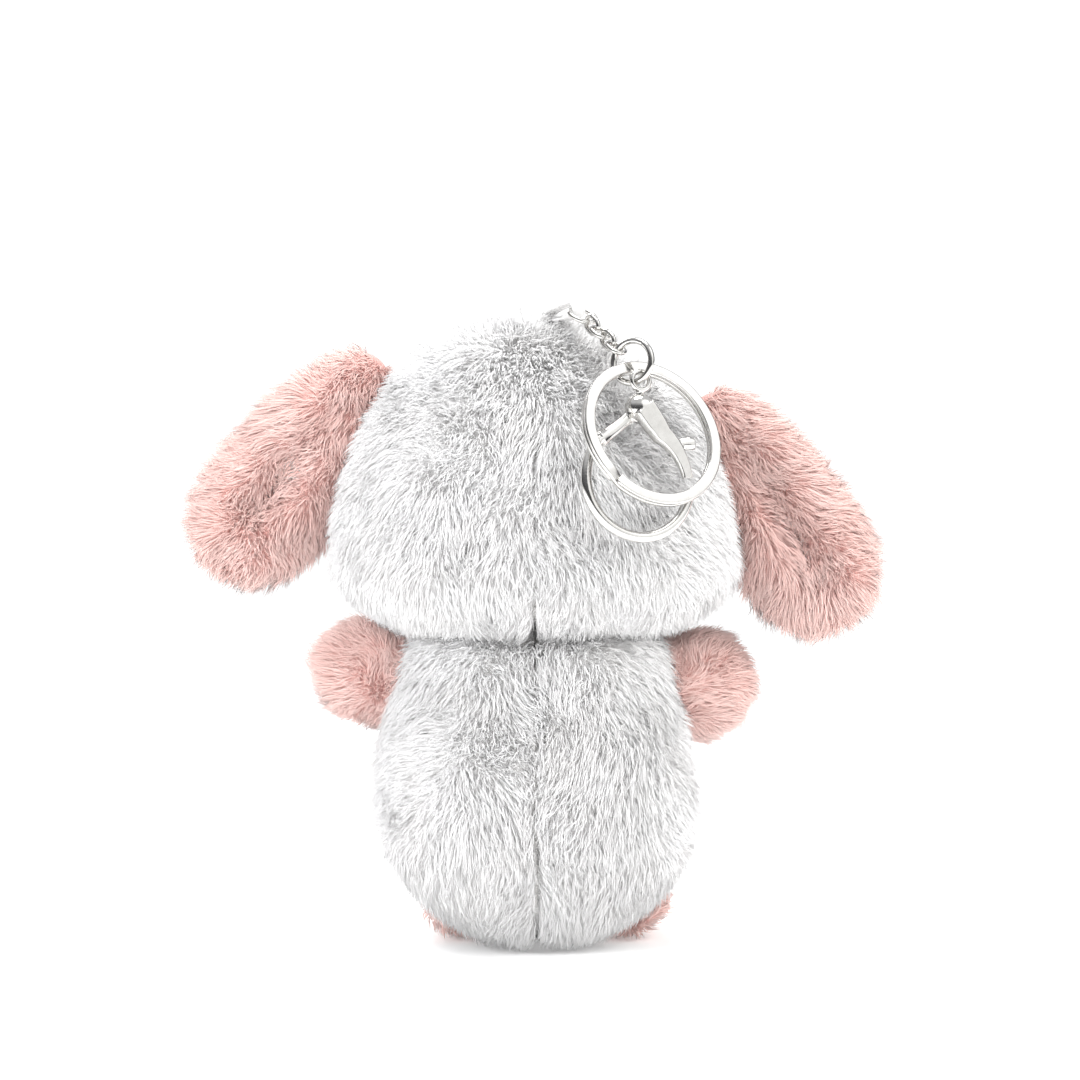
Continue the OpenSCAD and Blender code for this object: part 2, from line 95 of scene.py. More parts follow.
def fur_material(name, root, tip, patch, sheen=0.35):
    """Root-to-tip colour along each strand, a tone of its own for each strand, and broad soft patches."""
    mat, nt, bsdf = new_material(name)
    at = nt.nodes.new("ShaderNodeAttribute")
    at.attribute_name = "along"
    own = nt.nodes.new("ShaderNodeAttribute")
    own.attribute_name = "tone"
    grad = ramp(nt, at.outputs["Fac"], [(0.0, root), (0.45, tuple((r + t) / 2 for r, t in zip(root, tip))),
                                        (1.0, tip)])
    n = noise_node(nt, 110.0, 4.0)
    spots = ramp(nt, n.outputs[0], [(0.35, patch), (0.62, (1, 1, 1))])
    c = mix(nt, 1.0, grad.outputs[0], spots.outputs[0], "MULTIPLY")
    tone = ramp(nt, own.outputs["Fac"], [(0.0, (0.95, 0.95, 0.95)), (1.0, (1, 1, 1))])
    c = mix(nt, 1.0, c, tone.outputs[0], "MULTIPLY")
    nt.links.new(c, bsdf.inputs["Base Color"])
    bsdf.inputs["Roughness"].default_value = 0.85
    bsdf.inputs["Specular IOR Level"].default_value = 0.25
    bsdf.inputs["Sheen Weight"].default_value = sheen
    bsdf.inputs["Sheen Roughness"].default_value = 0.45
    return mat


def cloth_material(name, dark, light, scale=900.0, bump=0.0002):
    """Knitted or woven backing: crossed waves make the weave, noise makes it uneven."""
    mat, nt, bsdf = new_material(name)
    tc = nt.nodes.new("ShaderNodeTexCoord")
    waves = []
    for axis in ("X", "Z"):
        w = nt.nodes.new("ShaderNodeTexWave")
        w.bands_direction = axis
        w.inputs["Scale"].default_value = scale
        w.inputs["Distortion"].default_value = 1.5
        nt.links.new(tc.outputs["Object"], w.inputs["Vector"])
        waves.append(w.outputs["Fac"])
    m = nt.nodes.new("ShaderNodeMath")
    m.operation = "MULTIPLY"
    nt.links.new(waves[0], m.inputs[0])
    nt.links.new(waves[1], m.inputs[1])
    n = noise_node(nt, 260.0, 5.0)
    base = ramp(nt, n.outputs[0], [(0.3, dark), (0.7, light)])
    weave = ramp(nt, m.outputs[0], [(0.0, (0.82, 0.82, 0.82)), (0.6, (1, 1, 1))])
    nt.links.new(mix(nt, 1.0, base.outputs[0], weave.outputs[0], "MULTIPLY"), bsdf.inputs["Base Color"])
    b = nt.nodes.new("ShaderNodeBump")
    b.inputs["Distance"].default_value = bump
    b.inputs["Strength"].default_value = 0.6
    nt.links.new(m.outputs[0], b.inputs["Height"])
    nt.links.new(b.outputs[0], bsdf.inputs["Normal"])
    bsdf.inputs["Roughness"].default_value = 0.9
    bsdf.inputs["Sheen Weight"].default_value = 0.3
    return mat


def metal_material(name, dark, light, rough_low, rough_high, scratch=0.00002):
    """Bright plate: slightly uneven tone and polish, with fine hairline marks."""
    mat, nt, bsdf = new_material(name)
    n = noise_node(nt, 420.0, 6.0, 0.6)
    c = ramp(nt, n.outputs[0], [(0.3, dark), (0.7, light)])
    nt.links.new(c.outputs[0], bsdf.inputs["Base Color"])
    r = nt.nodes.new("ShaderNodeMapRange")
    r.inputs["To Min"].default_value = rough_low
    r.inputs["To Max"].default_value = rough_high
    n2 = noise_node(nt, 900.0, 4.0)
    nt.links.new(n2.outputs[0], r.inputs[0])
    nt.links.new(r.outputs[0], bsdf.inputs["Roughness"])
    bsdf.inputs["Metallic"].default_value = 1.0
    n3 = noise_node(nt, 1500.0, 2.0)
    b = nt.nodes.new("ShaderNodeBump")
    b.inputs["Distance"].default_value = scratch
    b.inputs["Strength"].default_value = 0.3
    nt.links.new(n3.outputs[0], b.inputs["Height"])
    nt.links.new(b.outputs[0], bsdf.inputs["Normal"])
    return mat


def plastic_material(name, dark, light, rough, coat=0.0, scale=300.0):
    mat, nt, bsdf = new_material(name)
    n = noise_node(nt, scale, 4.0)
    c = ramp(nt, n.outputs[0], [(0.3, dark), (0.7, light)])
    nt.links.new(c.outputs[0], bsdf.inputs["Base Color"])
    r = nt.nodes.new("ShaderNodeMapRange")
    r.inputs["To Min"].default_value = rough * 0.8
    r.inputs["To Max"].default_value = rough * 1.3
    nt.links.new(n.outputs[0], r.inputs[0])
    nt.links.new(r.outputs[0], bsdf.inputs["Roughness"])
    bsdf.inputs["Coat Weight"].default_value = coat
    return mat


WHITE_FUR = fur_material("white_fur", (0.93, 0.92, 0.915), (0.98, 0.98, 0.98), (0.965, 0.96, 0.955))
PINK_FUR = fur_material("pink_fur", (0.90, 0.52, 0.47), (0.96, 0.74, 0.69), (0.96, 0.91, 0.90))
SOLE_FUR = fur_material("sole_fur", (0.72, 0.25, 0.25), (0.88, 0.45, 0.43), (0.94, 0.88, 0.87))
WHITE_SKIN = cloth_material("white_backing", (0.86, 0.85, 0.84), (0.94, 0.93, 0.92))
PINK_SKIN = cloth_material("pink_backing", (0.84, 0.46, 0.42), (0.92, 0.58, 0.53))
SOLE_SKIN = cloth_material("sole_backing", (0.70, 0.26, 0.26), (0.80, 0.36, 0.34))
FILL = cloth_material("fibre_fill", (0.86, 0.86, 0.84), (0.95, 0.95, 0.94), 350.0, 0.0005)
SEAM = cloth_material("seam_tape", (0.70, 0.69, 0.67), (0.84, 0.83, 0.81), 1200.0)
THREAD = cloth_material("brown_thread", (0.20, 0.10, 0.085), (0.32, 0.17, 0.145), 1600.0, 0.00008)
RIBBON = cloth_material("woven_ribbon", (0.90, 0.89, 0.88), (0.96, 0.955, 0.95), 1500.0, 0.00008)
NICKEL = metal_material("bright_nickel", (0.62, 0.61, 0.59), (0.74, 0.73, 0.71), 0.07, 0.15)
SPRING = metal_material("spring_wire", (0.40, 0.40, 0.41), (0.52, 0.52, 0.53), 0.28, 0.42)
EYE = plastic_material("eye_gloss", (0.012, 0.009, 0.008), (0.03, 0.02, 0.018), 0.08, 0.6)
NOSE = plastic_material("nose_satin", (0.62, 0.23, 0.26), (0.74, 0.33, 0.36), 0.38, 0.15, 500.0)
WASHER = plastic_material("washer_white", (0.74, 0.74, 0.72), (0.84, 0.84, 0.82), 0.5)

# ---------------------------------------------------------------- mesh helpers


def unit(v):
    v = np.asarray(v, float)
    n = np.linalg.norm(v, axis=-1, keepdims=True)
    return v / np.maximum(n, 1e-12)


def add_object(name, me, mat):
    ob = bpy.data.objects.new(name, me)
    bpy.context.scene.collection.objects.link(ob)
    ob.data.materials.append(mat)
    return ob


def poly_mesh(name, verts_mm, faces, mat, smooth=True):
    me = bpy.data.meshes.new(name)
    faces = [tuple(int(i) for i in f) for f in faces]
    me.from_pydata((np.asarray(verts_mm, float) * MM).tolist(), [], faces)
    me.validate()
    me.polygons.foreach_set("use_smooth", [smooth] * len(me.polygons))
    me.update()
    return add_object(name, me, mat)


def tri_mesh(name, verts_mm, tris, mat):
    me = bpy.data.meshes.new(name)
    me.vertices.add(len(verts_mm))
    me.vertices.foreach_set("co", (verts_mm * MM).astype(np.float32).ravel())
    me.loops.add(len(tris) * 3)
    me.loops.foreach_set("vertex_index", tris.astype(np.int32).ravel())
    me.polygons.add(len(tris))
    me.polygons.foreach_set("loop_start", np.arange(0, len(tris) * 3, 3, dtype=np.int32))
    me.polygons.foreach_set("use_smooth", np.ones(len(tris), bool))
    me.update(calc_edges=True)
    return add_object(name, me, mat)


def applied(ob):
    """The object with its modifiers applied."""
    deps = bpy.context.evaluated_depsgraph_get()
    me = bpy.data.meshes.new_from_object(ob.evaluated_get(deps))
    ob.modifiers.clear()
    old = ob.data
    ob.data = me
    bpy.data.meshes.remove(old)
    return ob


def ico(sub):
    bm = bmesh.new()
    bmesh.ops.create_icosphere(bm, subdivisions=sub, radius=1.0)
    v = np.array([x.co[:] for x in bm.verts])
    f = np.array([[x.index for x in p.verts] for p in bm.faces])
    bm.free()
    return unit(v), f


def normals_of(v, f):
    n = np.zeros_like(v)
    fn = np.cross(v[f[:, 1]] - v[f[:, 0]], v[f[:, 2]] - v[f[:, 0]])
    for k in range(3):
        np.add.at(n, f[:, k], fn)
    return unit(n)


class Ripple:
    """Smooth seeded noise over space: a sum of sine waves in many directions."""

    def __init__(self, seed, wavelength, n=28):
        r = np.random.default_rng(seed)
        d = unit(r.normal(size=(n, 3)))
        self.k = d * (2 * math.pi / (wavelength * r.uniform(0.6, 1.7, (n, 1))))
        self.phase = r.uniform(0, 2 * math.pi, n)

    def __call__(self, p):
        waves = np.sin(np.asarray(p) @ self.k.T + self.phase)
        return waves.mean(axis=1) * math.sqrt(2 * len(self.phase)) * 0.6


def tube(path, radii, closed=False, sides=14, flat=1.0, up=None, section=None):
    """Verts and faces of a tube along path. radii is one number or one per point; section is an outline
    to use in place of a circle, as (across, up) pairs; up fixes the section's own up direction."""
    path = np.asarray(path, float)
    n = len(path)
    radii = np.broadcast_to(np.asarray(radii, float), (n,))
    if closed:
        tang = unit(np.roll(path, -1, 0) - np.roll(path, 1, 0))
    else:
        tang = unit(np.gradient(path, axis=0))
    if section is None:
        a = np.linspace(0, 2 * math.pi, sides, endpoint=False)
        section = np.c_[np.cos(a), np.sin(a) * flat]
    section = np.asarray(section, float)
    s = len(section)
    rings = []
    side = None
    for i in range(n):
        t = tang[i]
        if up is not None:
            u = np.asarray(up if np.ndim(up) == 1 else up[i], float)
            u = unit(u - t * (u @ t))
            side = np.cross(t, u)
        else:
            if side is None:
                g = np.array([0.3, 0.5, 0.8])
                side = unit(np.cross(t, g))
            side = unit(side - t * (side @ t))
            u = np.cross(side, t)
        rings.append(path[i] + radii[i] * (section[:, :1] * side + section[:, 1:] * u))
    v = np.concatenate(rings)
    f = []
    last = n if closed else n - 1
    for i in range(last):
        j = (i + 1) % n
        for k in range(s):
            m = (k + 1) % s
            f.append((i * s + k, i * s + m, j * s + m, j * s + k))
    if not closed:
        f.append(tuple(range(s - 1, -1, -1)))
        f.append(tuple((n - 1) * s + k for k in range(s)))
    return v, f


def joined(parts):
    vs, fs, base = [], [], 0
    for v, f in parts:
        vs.append(np.asarray(v))
        fs += [tuple(i + base for i in face) for face in f]
        base += len(v)
    return np.concatenate(vs), fs


def remeshed(name, parts, mat, voxel, smooth=4, factor=0.5):
    """The parts melted into one smooth casting."""
    ob = poly_mesh(name, *joined(parts), mat)
    m = ob.modifiers.new("melt", "REMESH")
    m.mode = "VOXEL"
    m.voxel_size = voxel * MM
    m.use_smooth_shade = True
    s = ob.modifiers.new("smooth", "SMOOTH")
    s.iterations = smooth
    s.factor = factor
    ob = applied(ob)
    ob.data.polygons.foreach_set("use_smooth", [True] * len(ob.data.polygons))
    if not ob.data.materials:
        ob.data.materials.append(mat)
    ob.data.materials[0] = mat
    return ob


# ---------------------------------------------------------------- forms of the toy, in mm


def turn(axis, deg):
    a = math.radians(deg)
    c, s = math.cos(a), math.sin(a)
    return {"x": np.array([[1, 0, 0], [0, c, -s], [0, s, c]]),
            "y": np.array([[c, 0, s], [0, 1, 0], [-s, 0, c]]),
            "z": np.array([[c, -s, 0], [s, c, 0], [0, 0, 1]])}[axis]


class Egg:
    def __init__(self, origin, rot, middle, w, d, up, dn):
        self.o, self.r, self.m = np.array(origin, float), rot, middle
        self.w, self.d, self.up, self.dn = w, d, up, dn

    def at(self, dirs, inset=0.0):
        h = np.where(dirs[:, 2] > 0, self.up - inset, self.dn - inset)
        q = np.c_[dirs[:, 0] * (self.w - inset), dirs[:, 1] * (self.d - inset), dirs[:, 2] * h + self.m]
        return q @ self.r.T + self.o

    def local(self, p):
        return (np.asarray(p) - self.o) @ self.r

    def off(self, p):
        """Roughly how far p is outside the surface."""
        q = self.local(p) - np.array([0, 0, self.m])
        h = np.where(q[:, 2] > 0, self.up, self.dn)
        f = np.sqrt((q[:, 0] / self.w) ** 2 + (q[:, 1] / self.d) ** 2 + (q[:, 2] / h) ** 2) + 1e-9
        g = np.c_[q[:, 0] / self.w ** 2, q[:, 1] / self.d ** 2, q[:, 2] / h ** 2] / f[:, None]
        return (f - 1) / (np.linalg.norm(g, axis=1) + 1e-9)


I3 = np.eye(3)
HEAD = Egg((0, 0, 78), I3, 0.0, 42, 35, 51, 21)
BODY = Egg((0, 0, 29.5), I3, 0.0, 34, 29, 47, 31.5)
EARS = {"left": Egg((35.6, -3, 112.2), turn("y", -38), 9 - 39, 14.3, 6.5, 39, 18),
        "right": Egg((-37.4, -3, 104.4), turn("y", 33), 9 - 39, 14.3, 6.5, 39, 18)}
ARMS = {"left": Egg((24, -3, 51.8), turn("z", -30) @ turn("y", 74), 12.5, 10.8, 10.8, 10.8, 21),
        "right": Egg((-23, -3, 51), turn("z", -148) @ turn("y", 85), 12.5, 10.8, 10.8, 10.8, 21)}
LEG_X = {"left": 14.5, "right": -18.5}
LEG_R, FOOT = 9.5, 42.0

DIRS, ICO_FACES = ico(6)


def skin_piece(name, v, f, mat, planes, thickness=0.6, body="plush", replaces=()):
    """One sewn panel: the closed skin cut by planes (point, outward normal in mm), then given its cloth's
    thickness inwards."""
    me = bpy.data.meshes.new(name)
    me.from_pydata((v * MM).tolist(), [], f.tolist() if hasattr(f, "tolist") else f)
    bm = bmesh.new()
    bm.from_mesh(me)
    for point, normal in planes:
        geom = bm.verts[:] + bm.edges[:] + bm.faces[:]
        bmesh.ops.bisect_plane(bm, geom=geom, plane_co=Vector(point) * MM, plane_no=Vector(normal),
                               clear_outer=True)
    bmesh.ops.recalc_face_normals(bm, faces=bm.faces[:])
    bm.to_mesh(me)
    bm.free()
    me.polygons.foreach_set("use_smooth", [True] * len(me.polygons))
    ob = add_object(name, me, mat)
    s = ob.modifiers.new("thickness", "SOLIDIFY")
    s.thickness = thickness * MM
    s.offset = -1.0
    applied(ob)
    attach(ob, body)
    if replaces:
        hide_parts(*replaces)
    return ob


# ---------------------------------------------------------------- fur


def sample(v, f, n, density, seed):
    r = np.random.default_rng(seed)
    a, b, c = v[f[:, 0]], v[f[:, 1]], v[f[:, 2]]
    area = np.linalg.norm(np.cross(b - a, c - a), axis=1) / 2
    count = int(area.sum() * density)
    t = r.choice(len(f), count, p=area / area.sum())
    u, w = r.random(count), r.random(count)
    flip = u + w > 1
    u[flip], w[flip] = 1 - u[flip], 1 - w[flip]
    g = (1 - u - w)[:, None]
    u, w = u[:, None], w[:, None]
    p = g * a[t] + u * b[t] + w * c[t]
    nn = unit(g * n[f[t, 0]] + u * n[f[t, 1]] + w * n[f[t, 2]])
    return p, nn


SOFTNESS = 0.4   # share of each strand's own roundness in its shading


def strands(name, p, n, comb, length, width, mat, body, slot, seed, fine=False, rise=0.62, wild=0.2,
            clump=0.38, clump_every=10, floor=True):
    """Real strands of pile, as one mesh. p and n are roots and normals, comb the way each strand leans.
    Fine strands are straight spikes, the others bend over half way."""
    r = np.random.default_rng(seed)
    c = len(p)
    if c < 40:
        return None
    length = np.broadcast_to(length, (c,)) * r.uniform(0.78, 1.18, c)
    d = comb + r.normal(size=(c, 3)) * wild
    d = d - n * np.einsum("ij,ij->i", d, n)[:, None]
    L = length[:, None]
    up = rise * r.uniform(0.8, 1.2, (c, 1))
    tip = p + L * (n * up + d)
    # each strand's tip gathers towards the tip of its tuft
    pick = r.permutation(c)[: max(8, c // clump_every)]
    tree = kdtree.KDTree(len(pick))
    for i, k in enumerate(pick):
        tree.insert(p[k], i)
    tree.balance()
    near = np.array([tree.find(q)[1] for q in p])
    home = tip[pick][near]
    tip = tip + (home - tip) * clump * r.uniform(0.5, 1.1, (c, 1))
    mid = p + L * n * up * 0.62 + (tip - p - L * n * up) * 0.36
    root = p - n * 0.25
    axis = unit(tip - root)
    s1 = unit(np.cross(axis, r.normal(size=(c, 3))))
    s2 = np.cross(axis, s1)
    w = (np.broadcast_to(width, (c,)) * r.uniform(0.75, 1.25, c))[:, None]
    ang = [0, 2 * math.pi / 3, 4 * math.pi / 3]
    round_it = [math.cos(a) * s1 + math.sin(a) * s2 for a in ang]
    ring0 = [root + w * 0.5 * q for q in round_it]
    if fine:
        v = np.stack([*ring0, tip], axis=1)
        shade = np.stack([*round_it, axis], axis=1)
        k = 4
        faces = [(0, 1, 3), (1, 2, 3), (2, 0, 3), (2, 1, 0)]
        along = [0, 0, 0, 1.0]
        uvs = [(0.1, 0.1), (0.5, 0.1), (0.9, 0.1), (0.5, 0.9)]
    else:
        ring1 = [mid + w * 0.42 * q for q in round_it]
        v = np.stack([*ring0, *ring1, tip], axis=1)
        shade = np.stack([*round_it, *round_it, axis], axis=1)
        k = 7
        faces = []
        for a in range(3):
            b = (a + 1) % 3
            faces += [(a, b, 3 + b), (a, 3 + b, 3 + a), (3 + a, 3 + b, 6)]
        faces.append((2, 1, 0))
        along = [0, 0, 0, 0.5, 0.5, 0.5, 1.0]
        uvs = [(0.1, 0.1), (0.5, 0.1), (0.9, 0.1), (0.1, 0.5), (0.5, 0.5), (0.9, 0.5), (0.5, 0.9)]
    if floor:
        v[:, :, 2] = np.maximum(v[:, :, 2], 0.05 + 0.02 * np.arange(k))
    tris = (np.array(faces)[None] + (np.arange(c) * k)[:, None, None]).reshape(-1, 3)
    ob = tri_mesh(name, v.reshape(-1, 3), tris, mat)
    me = ob.data
    a = me.attributes.new("along", "FLOAT", "POINT")
    a.data.foreach_set("value", np.tile(np.array(along, np.float32), c))
    b = me.attributes.new("tone", "FLOAT", "POINT")
    b.data.foreach_set("value", np.repeat(r.random(c).astype(np.float32), k))
    # every strand has its own small cell of the texture space
    cells = int(math.ceil(math.sqrt(c)))
    cell = np.stack([np.arange(c) % cells, np.arange(c) // cells], axis=1)
    uv = (cell[:, None, :] + np.array(uvs)[None]) / cells
    uv = uv.reshape(-1, 2)[tris.ravel()]
    layer = me.uv_layers.new(name="OFBake")
    layer.data.foreach_set("uv", uv.astype(np.float32).ravel())
    # light falls on the pile much as on the surface below it
    shade = unit(n[:, None, :] + SOFTNESS * shade).reshape(-1, 3)
    me.normals_split_custom_set_from_vertices(shade)
    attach(ob, body)
    return ob


FLOW = [Ripple(s, 26.0) for s in (3, 4, 5)]
FINE_FLOW = [Ripple(s, 8.0) for s in (13, 14, 15)]


def swirl(p, broad=0.4, small=0.25):
    return broad * np.stack([f(p) for f in FLOW], 1) + small * np.stack([f(p) for f in FINE_FLOW], 1)


def coat(name, v, f, keep, comb, mat, body, slot, seed, top=(3.9, 5.2, 0.22), under=(5.2, 3.8, 0.27),
         length=None, **look):
    """The pile of one panel: long bent strands over a denser, shorter undercoat."""
    n = normals_of(v, f)
    made = []
    for kind, (density, tall, width) in (("pile", top), ("undercoat", under)):
        p, nn = sample(v, f, n, density, seed + (0 if kind == "pile" else 1000))
        ok = keep(p)
        p, nn = p[ok], nn[ok]
        c = comb(p, nn)
        tall_here = tall * (length(p) if length is not None else 1.0)
        made.append(strands(f"{name}_{kind}", p, nn, c, tall_here, width, mat, body, slot, seed + 7,
                            fine=kind == "undercoat", **look))
    return [m for m in made if m is not None]


# ---------------------------------------------------------------- head and body skins

HEAD_INSET, BODY_INSET = 3.2, 3.2
lump = Ripple(21, 22.0)


def seam_groove(v, depth, z_fade):
    """The middle seam pulls the cloth in along x = 0, on the back only."""
    back = 1 / (1 + np.exp(-(v[:, 1] - 6) / 2.0))
    low = 1 / (1 + np.exp((v[:, 2] - z_fade) / 3.0))
    return depth * np.exp(-(v[:, 0] / 1.6) ** 2) * back * low


SEWN_IN = 0.8       # the cloth lies this far inside the egg that the pile grows from
SEAM_DEPTH = 1.3
LUMP_HEIGHT = 0.45


def round_skin(egg, inset, groove_fade):
    """The skin of a stuffed egg: a little inside it, softly lumpy, and pulled in along the middle seam."""
    v = egg.at(DIRS, inset)
    v = v - SEWN_IN * normals_of(v, ICO_FACES)
    height = LUMP_HEIGHT * lump(v) - seam_groove(v, SEAM_DEPTH, groove_fade)
    return v + normals_of(v, ICO_FACES) * height[:, None], ICO_FACES


SEAM_TOP = 72.0
head_v, head_f = round_skin(HEAD, HEAD_INSET, SEAM_TOP)
body_v, body_f = round_skin(BODY, BODY_INSET, SEAM_TOP)
# the crown leans a little to the toy's left, the seat to its right, and the shoulders fill the neck
CROWN_LEAN, SEAT_LEAN, SHOULDER_FILL = 2.6, 1.4, 1.8
head_v[:, 0] += CROWN_LEAN * np.clip((head_v[:, 2] - HEAD.o[2]) / HEAD.up, 0, 1) ** 2
body_v[:, 0] -= SEAT_LEAN * np.clip(1 - body_v[:, 2] / BODY.o[2], 0, 1)
fill = SHOULDER_FILL * np.exp(-(HEAD.off(body_v) / 6.0) ** 2) * (body_v[:, 2] > BODY.o[2])
body_v += normals_of(body_v, body_f) * fill[:, None]
body_v[:, 2] = np.maximum(body_v[:, 2], 1.4)

EPS = 0.15
skin_piece("face_cloth", head_v, head_f, WHITE_SKIN, [((0, -EPS, 0), (0, 1, 0))],
                       replaces=["face_panel"])
skin_piece("head_back_left_cloth", head_v, head_f, WHITE_SKIN,
           [((0, EPS, 0), (0, -1, 0)), ((EPS, 0, 0), (-1, 0, 0))], replaces=["head_back_left_panel"])
skin_piece("head_back_right_cloth", head_v, head_f, WHITE_SKIN,
           [((0, EPS, 0), (0, -1, 0)), ((-EPS, 0, 0), (1, 0, 0))], replaces=["head_back_right_panel"])
SEAT_Z = 6.0
skin_piece("belly_cloth", body_v, body_f, WHITE_SKIN,
           [((0, -EPS, 0), (0, 1, 0)), ((0, 0, SEAT_Z), (0, 0, -1))], replaces=["belly_panel"])
skin_piece("body_back_left_cloth", body_v, body_f, WHITE_SKIN,
           [((0, EPS, 0), (0, -1, 0)), ((EPS, 0, 0), (-1, 0, 0)), ((0, 0, SEAT_Z), (0, 0, -1))],
           replaces=["body_back_left_panel"])
skin_piece("body_back_right_cloth", body_v, body_f, WHITE_SKIN,
           [((0, EPS, 0), (0, -1, 0)), ((-EPS, 0, 0), (1, 0, 0)), ((0, 0, SEAT_Z), (0, 0, -1))],
           replaces=["body_back_right_panel"])
skin_piece("seat_cloth", body_v, body_f, WHITE_SKIN, [((0, 0, SEAT_Z - EPS), (0, 0, 1))],
           replaces=["seat_panel"])


def filling(name, v, f, body, node, shrink, seed):
    """Loose fibre fill inside a stuffed form: the same shape, smaller, with the lumps that fibre makes."""
    n = normals_of(v, f)
    rough, soft = Ripple(seed, 6.0), Ripple(seed + 1, 14.0)
    w = v - n * (shrink + 0.35 * (rough(v) + soft(v)))[:, None]
    ob = poly_mesh(name, w, f, FILL)
    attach(ob, body)
    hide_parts(node)
    return ob


LOW5, LOW5_F = ico(5)
filling("head_fill", HEAD.at(LOW5, HEAD_INSET + 0.7), LOW5_F, "plush", "head_stuffing", 1.4, 51)
body_fill_v = BODY.at(LOW5, BODY_INSET + 0.7)
body_fill_v[:, 2] = np.maximum(body_fill_v[:, 2], 4.2)
filling("body_fill", body_fill_v, LOW5_F, "plush", "body_stuffing", 1.4, 53)


def down_comb(p, n, strength=0.55, seam=True):
    d = np.tile(np.array([0, 0, -strength]), (len(p), 1)) + swirl(p) * 0.6
    if seam:
        low = 1 / (1 + np.exp((p[:, 2] - SEAM_TOP) / 2.5))
        part = np.exp(-(p[:, 0] / 1.8) ** 2) * (p[:, 1] > 3) * low
        d[:, 0] += np.sign(p[:, 0]) * 0.42 * part
    return d


def clear_of_seam(p, sign):
    """Pile grows on one side of the middle seam, and right across it above the seam's open stretch."""
    return p[:, 0] * sign > np.where(p[:, 2] < SEAM_TOP, 0.2, 0.0)


def head_keep(p):
    return (BODY.off(p) > -1.5) | (p[:, 2] > 68)


HOLES = [(14.0, 84.0, 3.4), (-14.0, 84.0, 3.4), (0.0, 75.5, 2.7)]


def face_keep(p):
    ok = (p[:, 1] <= 0) & head_keep(p)
    for x, z, r in HOLES:
        ok &= ((p[:, 0] - x) ** 2 + (p[:, 2] - z) ** 2 > r * r) | (p[:, 1] > 0)
    return ok


def face_short(p):
    s = np.ones(len(p))
    for x, z, r in HOLES:
        d = np.sqrt((p[:, 0] - x) ** 2 + (p[:, 2] - z) ** 2) - r
        s = np.minimum(s, np.clip(0.3 + d / 9.0, 0.3, 1.0))
    d = np.sqrt((p[:, 0]) ** 2 + (p[:, 2] - 71.5) ** 2)
    s = np.minimum(s, np.clip(0.42 + (d - 5) / 12.0, 0.42, 1.0))
    return s


def face_comb(p, n):
    """Pile lies away from the nose, up the forehead and out over the cheeks."""
    d = np.stack([p[:, 0], np.zeros(len(p)), p[:, 2] - 76.5], 1)
    return unit(d) * 0.5 + swirl(p) * 0.6


for side, sign in (("left", 1), ("right", -1)):
    coat(f"head_back_{side}", head_v, head_f,
         lambda p, s=sign: (p[:, 1] > 0) & clear_of_seam(p, s) & head_keep(p), down_comb,
         WHITE_FUR, "plush", "white_plush", 101 + sign)
    coat(f"face_{side}", head_v, head_f,
         lambda p, s=sign: (p[:, 0] * s >= 0) & face_keep(p), face_comb,
         WHITE_FUR, "plush", "white_plush", 111 + sign, length=face_short, top=(3.2, 5.0, 0.27))
    coat(f"body_back_{side}", body_v, body_f,
         lambda p, s=sign: (p[:, 1] > 0) & clear_of_seam(p, s) & (p[:, 2] > 3) & (HEAD.off(p) > -2.0),
         down_comb,
         WHITE_FUR, "plush", "white_plush", 121 + sign)
    coat(f"belly_{side}", body_v, body_f,
         lambda p, s=sign: (p[:, 1] <= 0) & (p[:, 0] * s >= 0) & (p[:, 2] > 3) & (HEAD.off(p) > -2.0),
         lambda p, n: down_comb(p, n, seam=False),
         WHITE_FUR, "plush", "white_plush", 131 + sign, top=(3.2, 5.0, 0.27))
coat("seat", body_v, body_f, lambda p: p[:, 2] <= 3,
     lambda p, n: unit(np.stack([p[:, 0], p[:, 1], p[:, 2] * 0], 1)) * 0.7 + swirl(p) * 0.4,
     WHITE_FUR, "plush", "white_plush", 141, top=(3.0, 3.2, 0.28), under=(4.0, 2.4, 0.3), rise=0.3)

# ---------------------------------------------------------------- ears

EAR_INSET = 1.9


def ear_skin(egg, seed):
    v = egg.at(DIRS, EAR_INSET)
    q = egg.local(v)
    # a lengthwise crease down the middle of both sides, deepest half way down
    along = np.exp(-((q[:, 2] + 28) / 20.0) ** 2)
    dip = 0.45 * np.exp(-(q[:, 0] / 3.0) ** 2) * along
    puff = 1.0 + 0.20 * np.exp(-((np.abs(q[:, 0]) - 6.5) / 3.2) ** 2) * along
    q[:, 1] *= (1 - dip) * puff
    n = Ripple(seed, 13.0)(q)
    q[:, 1] += 0.5 * n
    return q @ egg.r.T + egg.o


